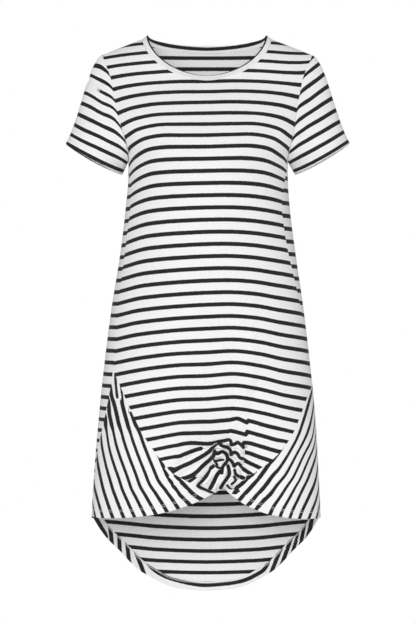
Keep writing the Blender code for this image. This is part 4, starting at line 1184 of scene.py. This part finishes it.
def make_sleeve(side):
    outer_x, outer_height, inner_x, inner_height, half_depth = SLEEVE_HEMS[side]
    start, start_normal = armhole_loop(side)
    count = len(start)
    run = np.linalg.norm(np.diff(start, axis=0, append=start[:1]), axis=1)
    place = np.concatenate([[0], np.cumsum(run)[:-1]])
    middle = place[ARMHOLE_ROWS]
    turn = np.where(np.arange(count) <= ARMHOLE_ROWS, np.pi * place / middle,
                    np.pi + np.pi * (place - middle) / (run.sum() - middle))
    outer = np.array([outer_x, 0, outer_height])
    inner = np.array([inner_x, 0, inner_height])
    centre = (outer + inner) / 2
    reach = (outer - inner) / 2
    end = centre + np.cos(turn)[:, None] * reach
    end[:, 1] -= np.sin(turn) * half_depth
    axis = np.cross(reach, [0, 1, 0])
    axis *= -np.sign(axis[2]) / np.linalg.norm(axis)
    end += axis * SLEEVE_HEM_BOW * np.sin(turn)[:, None] ** 2
    shoulder = np.array([SIDES[side] * SLEEVE_LEAVE[0], 0, SLEEVE_LEAVE[1]])
    lower = (1 - np.cos(turn))[:, None] / 2
    leave = shoulder * (1 - lower) + axis * lower
    chord = np.linalg.norm(end - start, axis=1)[:, None]
    seam_step = leave / np.linalg.norm(leave, axis=1, keepdims=True) * SEAM_GAP
    seam_step = seam_step + start_normal * smoothstep(*STEP_OUT, lower) * 2 * SEAM_GAP
    folded = np.degrees(np.minimum(turn, 2 * np.pi - turn))
    stripe_at = chart(SLEEVE_STRIPES[side], SLEEVE_TURNS)
    in_tuck = 1 - smoothstep(*TUCK_END, folded)

    def sleeve_rows(t):
        """Outer face, its normals and the stripes at shares of the way to the hem."""
        s = t[..., None]
        grid = ((2 * s ** 3 - 3 * s ** 2 + 1) * (start + seam_step)
                + (s ** 3 - 2 * s ** 2 + s) * leave * chord * SLEEVE_SPRING
                + (3 * s ** 2 - 2 * s ** 3) * end + (s ** 3 - s ** 2) * axis * chord)
        normal = np.cross(np.gradient(grid, axis=0), np.roll(grid, -1, axis=1) - np.roll(grid, 1, axis=1))
        normal /= np.linalg.norm(normal, axis=-1, keepdims=True)
        outwards = np.sum(normal * (grid - (start.mean(axis=0) * (1 - s) + centre * s)), axis=-1)
        normal *= np.sign(outwards.sum())
        stripe = stripe_at(t, np.broadcast_to(folded, t.shape))
        if side in SLEEVE_TUCK:
            off = stripe - SLEEVE_TUCK[side]
            dip = TUCK_DEPTH * in_tuck * np.exp(-((off - TUCK_PLACE[0]) / TUCK_PLACE[1]) ** 2)
            grid -= normal * dip[..., None]
        return grid, normal, stripe

    grid, normal, stripe = sleeve_rows(
        np.broadcast_to(np.linspace(0, 1, SLEEVE_ROWS + 1)[:, None], (SLEEVE_ROWS + 1, count)))
    normal[0] += (start_normal - normal[0]) * (1 - smoothstep(*LEAVE_BODY, lower))
    normal[0] /= np.linalg.norm(normal[0], axis=-1, keepdims=True)
    inside = grid - normal * CLOTH
    risen = np.linspace(0, SLEEVE_TURN_UP, TURN_UP_ROWS + 1)
    up_grid, up_normal, up_stripe = sleeve_rows(1 - risen[:, None] / chord[:, 0])
    fold_face, fold_lining = fold_under(grid[-1], normal[-1], -axis)
    face = np.concatenate([grid, fold_face, up_grid[1:] - up_normal[1:] * (2 * CLOTH + SEAM_GAP)])
    lining = np.concatenate([inside, fold_lining, up_grid[1:] - up_normal[1:] * (CLOTH + SEAM_GAP)])
    fold_stripe = np.broadcast_to(stripe[-1], (FOLD_ROWS, count))
    stripe = np.concatenate([stripe, fold_stripe, 2 * stripe[-1] - up_stripe[1:]])
    girth = np.cumsum(np.linalg.norm(np.diff(grid[-1], axis=0, append=grid[-1][:1]), axis=1))
    cloth = np.stack([np.broadcast_to(girth / STRIPE_PERIOD, stripe.shape), stripe], axis=-1)
    if side == "left":
        face, lining, cloth = face[:, ::-1], lining[:, ::-1], cloth[:, ::-1]
    piece = cloth_shell("sleeve_" + side + "_cloth", face, lining, cloth, cloth, closed=True)
    if side in SLEEVE_TUCK:
        near = np.abs(stripe - SLEEVE_TUCK[side])
        hidden = np.zeros(len(piece.data.vertices), dtype=np.float32)
        hidden[:stripe.size] = (in_tuck * (1 - smoothstep(*TUCK_HIDES, near))).ravel()
        layer = piece.data.attributes.new("in_tuck", "FLOAT", "POINT")
        layer.data.foreach_set("value", hidden)
    rows = []
    for from_edge in HEM_ROWS:
        up_from_hem = SLEEVE_TURN_UP - from_edge + np.linspace(0.0005, -0.0005, 3)[:, None]
        line, line_normal, _ = sleeve_rows(1 - up_from_hem / chord[:, 0])
        loop = line[1] + line_normal[1] * ON_CLOTH
        rows.append([*loop, loop[0]])
    stitching = sew("sleeve_" + side + "_stitches", rows)
    dress_piece(piece, "sleeve_" + side, striped_jersey)


for body_side in SIDES:
    make_sleeve(body_side)

# ---------------------------------------------------------------------------------------------
# Neckband: a narrow strip of the jersey, folded and sewn on round the neck. A white interval
# lies outside, and the black stripe beside it lies at the fold inside.
BAND_HALF_WIDTH = 0.109
BAND_TOP = 0.0025
BAND_DROPS = (0.0805, 0.0130)     # of the band's edge, at the centre front and centre back
BAND_LEAN = 0.86
BAND_THICKNESS = 0.0024
BAND_SEAM_RISE = 0.0009
BAND_COLUMNS = 200
BAND_ROWS = 10
BAND_GIRTH = 30                   # in stripe periods
BAND_ROUND_FROM = 0.85            # share of the width from which the band thins towards its fold
BAND_FOLD_SHARE = 0.25            # share of its thickness that is left there
# degrees from the centre front: place of the black stripe's middle inside of the band's fold
BAND_BLACK = {0: 0.0022, 40: 0.0005, 95: 0.0005, 135: 0.0040, 180: 0.0065}

turn = np.linspace(0, 2 * np.pi, BAND_COLUMNS, endpoint=False)
in_front = np.cos(turn) > 0
seam_x = NECK_HALF_WIDTH * np.sin(turn)
drop = np.where(in_front, NECK_FRONT[0], NECK_BACK[0])
roundness = np.where(in_front, NECK_FRONT[1], NECK_BACK[1])
seam_height = np.minimum(neck_seam_height(seam_x, drop, roundness), shoulder_height(seam_x))
seam_bearing = bearing_at(seam_x, seam_height)
seam = body_point(np.where(in_front, seam_bearing, np.pi - seam_bearing), seam_height)
edge_x = BAND_HALF_WIDTH * np.sin(turn)
inside_share = np.clip(1 - (np.abs(edge_x) / BAND_HALF_WIDTH) ** roundness, 0, 1)
edge_height = BAND_TOP - np.where(in_front, *BAND_DROPS) * inside_share ** (1 / roundness)
edge = np.stack([edge_x, seam[:, 1] * BAND_LEAN, edge_height], axis=-1)
up = edge - seam
band_width = np.linalg.norm(up, axis=1, keepdims=True)
up /= band_width
around = np.roll(seam, -1, axis=0) - np.roll(seam, 1, axis=0)
out = np.cross(around, up)
out /= np.linalg.norm(out, axis=1, keepdims=True)
out *= np.sign(np.sum(out[:, :2] * seam[:, :2], axis=1))[:, None]
base = seam - out * CLOTH / 2 + up * BAND_SEAM_RISE
share = np.linspace(0, 1, BAND_ROWS + 1)[:, None, None]
half_band = BAND_THICKNESS / 2 * (1 - (1 - BAND_FOLD_SHARE) * smoothstep(BAND_ROUND_FROM, 1.0, share))
middle = base + up * (band_width - BAND_SEAM_RISE) * share
band_face = middle + out * half_band
band_lining = middle - out * half_band
across = np.broadcast_to(np.linspace(0, BAND_GIRTH, BAND_COLUMNS), band_face.shape[:2])
from_fold = (1 - share[..., 0]) * band_width[:, 0]
black_at = through(BAND_BLACK)(np.degrees(np.minimum(turn, 2 * np.pi - turn)))
band_outside = np.stack([across, (-from_fold - black_at) / STRIPE_PERIOD], axis=-1)
band_inside = np.stack([across, (from_fold - black_at) / STRIPE_PERIOD], axis=-1)
neckband_cloth = cloth_shell("neckband_cloth", band_face[::-1], band_lining[::-1],
                             band_outside[::-1], band_inside[::-1], closed=True)
dress_piece(neckband_cloth, "neckband", striped_jersey)

# ---------------------------------------------------------------------------------------------
# Knot: the front's own cloth, tied in a small tight knot above the notch. Folds run into it from
# above, an arch of cloth is drawn round its heart, and its end fans out below on the right.
KNOT_RINGS = 76
KNOT_SPOKES = 300
KNOT_GAP = 0.0003
KNOT_CLOTH = 0.0012
KNOT_BODY = 0.0075                # height of the bundle under its folds
KNOT_EDGE = 0.16                  # share of the reach over which the edge rounds down
KNOT_BODY_FALL = 0.7              # powers for how the bundle and a fold fall away
KNOT_FOLD_FALL = 0.6
KNOT_FOLD_BLEND = 5               # the higher, the sharper the valley between two folds
KNOT_UNDERSIDE = (0.9, 0.6, 0.3)  # shares of the reach at which the rings underneath lie
# bearing clockwise from above: reach of the outline, in millimetres
KNOT_OUTLINE = {
    0: 51, 11: 53, 25: 53, 42: 49, 62: 38, 90: 29, 122: 30, 145: 35, 163: 40.5, 181: 37, 194: 40,
    207: 52, 223: 56, 239: 62.5, 247: 46, 267: 31, 292: 29, 311: 36, 329: 43, 344: 49,
}
# Folds of the cloth: height, half width, and points across and above the middle, in millimetres.
KNOT_FOLDS = {
    "from above": (6.0, 8.0, [(23, 49), (24.5, 34), (25.5, 18), (24, 4)]),
    "from above, lower": (5.0, 6.0, [(19, 14), (21, 0), (22, -14)]),
    "wrap": (7.5, 6.0, [(7.5, 49), (11, 38), (9.5, 23), (10, 9), (12, -5), (12, -19), (8, -33)]),
    "arch, outer": (7.0, 4.5, [(8, 44), (0, 46), (-11, 41), (-19, 33)]),
    "arch, inner": (7.5, 5.0, [(8, 31), (1, 34), (-8, 36), (-17, 34), (-23, 26)]),
    "lobe": (8.5, 5.5, [(-22, 20), (-15, 22), (-6, 23), (-1, 18), (-3, 10)]),
    "heart": (7.5, 5.5, [(-10.5, 11), (-9.5, 5)]),
    "column": (6.5, 5.0, [(2, 9), (-1, -2), (-4, -13), (-10, -26)]),
    "fan, first": (4.5, 8.0, [(-24, 10), (-33, 0), (-45, -17)]),
    "fan, second": (5.0, 7.0, [(-17, 2), (-26, -11), (-38, -29)]),
    "fan, third": (4.5, 6.5, [(-8, -12), (-14, -22), (-21, -37)]),
    "fan, last": (4.0, 6.0, [(3, -20), (-1, -28), (-6, -37)]),
}
# Black stripes as they show on the folds: how much narrower they are than on flat cloth, and
# points across and above the middle, in millimetres.
KNOT_STRIPES = {
    "brow": (1.2, [(-14, 48), (-2, 50.5), (6, 52), (9, 49), (10, 43.5), (15, 44), (21, 46.5),
                   (26, 44), (33, 37)]),
    "arch": (1.2, [(-11, 44.5), (-6, 41), (5, 37), (9, 31), (10, 25.5), (14, 29.5), (21, 27),
                   (25, 20), (31, 17)]),
    "lobe": (1.2, [(-20, 32), (-16, 27), (-11, 29), (-6, 31), (0, 27), (3, 20), (2, 13), (-3, 7),
                   (-6, 2), (-7, -8)]),
    "lobe, under": (2, [(-24, 19), (-19, 13.5), (-13, 14.5), (-4, 16)]),
    "heart": (1.6, [(-20, 13), (-16, 7.5), (-17, 4), (-11, 1), (-6, 2)]),
    "shoulder": (1.1, [(-27, 16.5), (-22, 23.5), (-20, 31)]),
    "shoulder, upper": (1.2, [(-24, 38), (-15, 46)]),
    "middle": (1.2, [(6, 17), (10, 14), (13, 9), (15, 4.5), (19, 8), (23, 9), (30, 1)]),
    "wrap": (1.15, [(4, 4.5), (6, -3.5), (6, -12), (0, -21), (-5, -28), (-9, -36)]),
    "fan, first": (1.1, [(-22, 4.5), (-29, -1.5), (-35, -13), (-44, -23), (-53, -31)]),
    "fan, second": (1.0, [(-10, -5), (-16, -12), (-21, -23), (-28, -36)]),
    "low right": (1.3, [(16, -3), (18, -10), (24, -15)]),
    "low right, under": (1.5, [(15, -15), (18, -22), (11, -28)]),
    "end": (1.6, [(3, -31), (7, -36), (11, -39)]),
    "fan's edge": (1.15, [(-52, -32), (-42, -36.5), (-33, -41.5), (-24, -45.5)]),
}
KNOT_FOLD_LINES = crease_lines(KNOT_FOLDS.values())
KNOT_STRIPE_LINES = [(0, narrower, bent_line(points)) for narrower, points in KNOT_STRIPES.values()]
KNOT_REACH = through({bearing + round_off: reach for bearing, reach in KNOT_OUTLINE.items()
                      for round_off in (-360, 0, 360)})


def knot_height(across, up, reached):
    """Height of the knot's outer face over the front, by the share of the outline reached."""
    folds = np.zeros(np.shape(across))
    for high, wide, line in KNOT_FOLD_LINES:
        distance = from_line(across, up, line)[0]
        fall = np.clip(1 - (distance / wide) ** 2, 0, 1) ** KNOT_FOLD_FALL
        folds += (high * fall) ** KNOT_FOLD_BLEND
    inwards = np.clip((1 - reached) / KNOT_EDGE, 0, 1)
    edge = np.sqrt(1 - (1 - inwards) ** 2)
    body = KNOT_BODY * (1 - reached ** 2) ** KNOT_BODY_FALL
    return KNOT_CLOTH + edge * (body + folds ** (1 / KNOT_FOLD_BLEND) / 1000)


def make_knot():
    bearing = np.linspace(0, 360, KNOT_SPOKES, endpoint=False)
    reach = KNOT_REACH(bearing)
    way = np.stack([np.sin(np.radians(bearing)), np.cos(np.radians(bearing))], axis=-1)

    def on_front(reached, lift):
        """A ring of points over the front, and their place across and above the middle."""
        flat = way * (reach * reached)[:, None]
        x, height = KNOT_X + flat[:, 0] / 1000, KNOT_HEIGHT + flat[:, 1] / 1000
        point = body_point(bearing_at(x, height), height, front_relief)
        point[:, 1] -= lift(flat[:, 0], flat[:, 1])
        return point, flat

    top_shares = np.linspace(0, 1, KNOT_RINGS + 1)[1:]
    rings = [on_front(share, lambda x, z: KNOT_GAP + knot_height(x, z, share)) for share in top_shares]
    rings.append(on_front(1.0, lambda x, z: KNOT_GAP))
    rings += [on_front(share, lambda x, z: KNOT_GAP + KNOT_CLOTH) for share in KNOT_UNDERSIDE]
    middle = [on_front(0.0, lambda x, z: KNOT_GAP + knot_height(x, z, 0.0))[0][0],
              on_front(0.0, lambda x, z: KNOT_GAP + KNOT_CLOTH)[0][0]]
    points = [*np.concatenate([ring for ring, _ in rings]), *middle]
    flat = np.concatenate([*(place for _, place in rings), np.zeros((2, 2))])
    last = len(rings) * KNOT_SPOKES
    faces = []
    for k in range(KNOT_SPOKES):
        after = (k + 1) % KNOT_SPOKES
        faces.append((last, after, k))
        for ring in range(len(rings) - 1):
            here = ring * KNOT_SPOKES
            faces.append((here + k, here + after, here + KNOT_SPOKES + after, here + KNOT_SPOKES + k))
        inner = last - KNOT_SPOKES
        faces.append((last + 1, inner + k, inner + after))
    mesh = new_mesh("knot_cloth", points, [], faces)
    count = count_from_lines(flat[:, 0], flat[:, 1], KNOT_STRIPE_LINES)
    lay_cloth(mesh, np.stack([flat[:, 0] / 1000 / STRIPE_PERIOD, count], axis=-1))
    piece = put_in_scene("knot_cloth", mesh)
    piece.data.materials.append(striped_jersey)
    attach(piece, "root")
    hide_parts("knot")


make_knot()
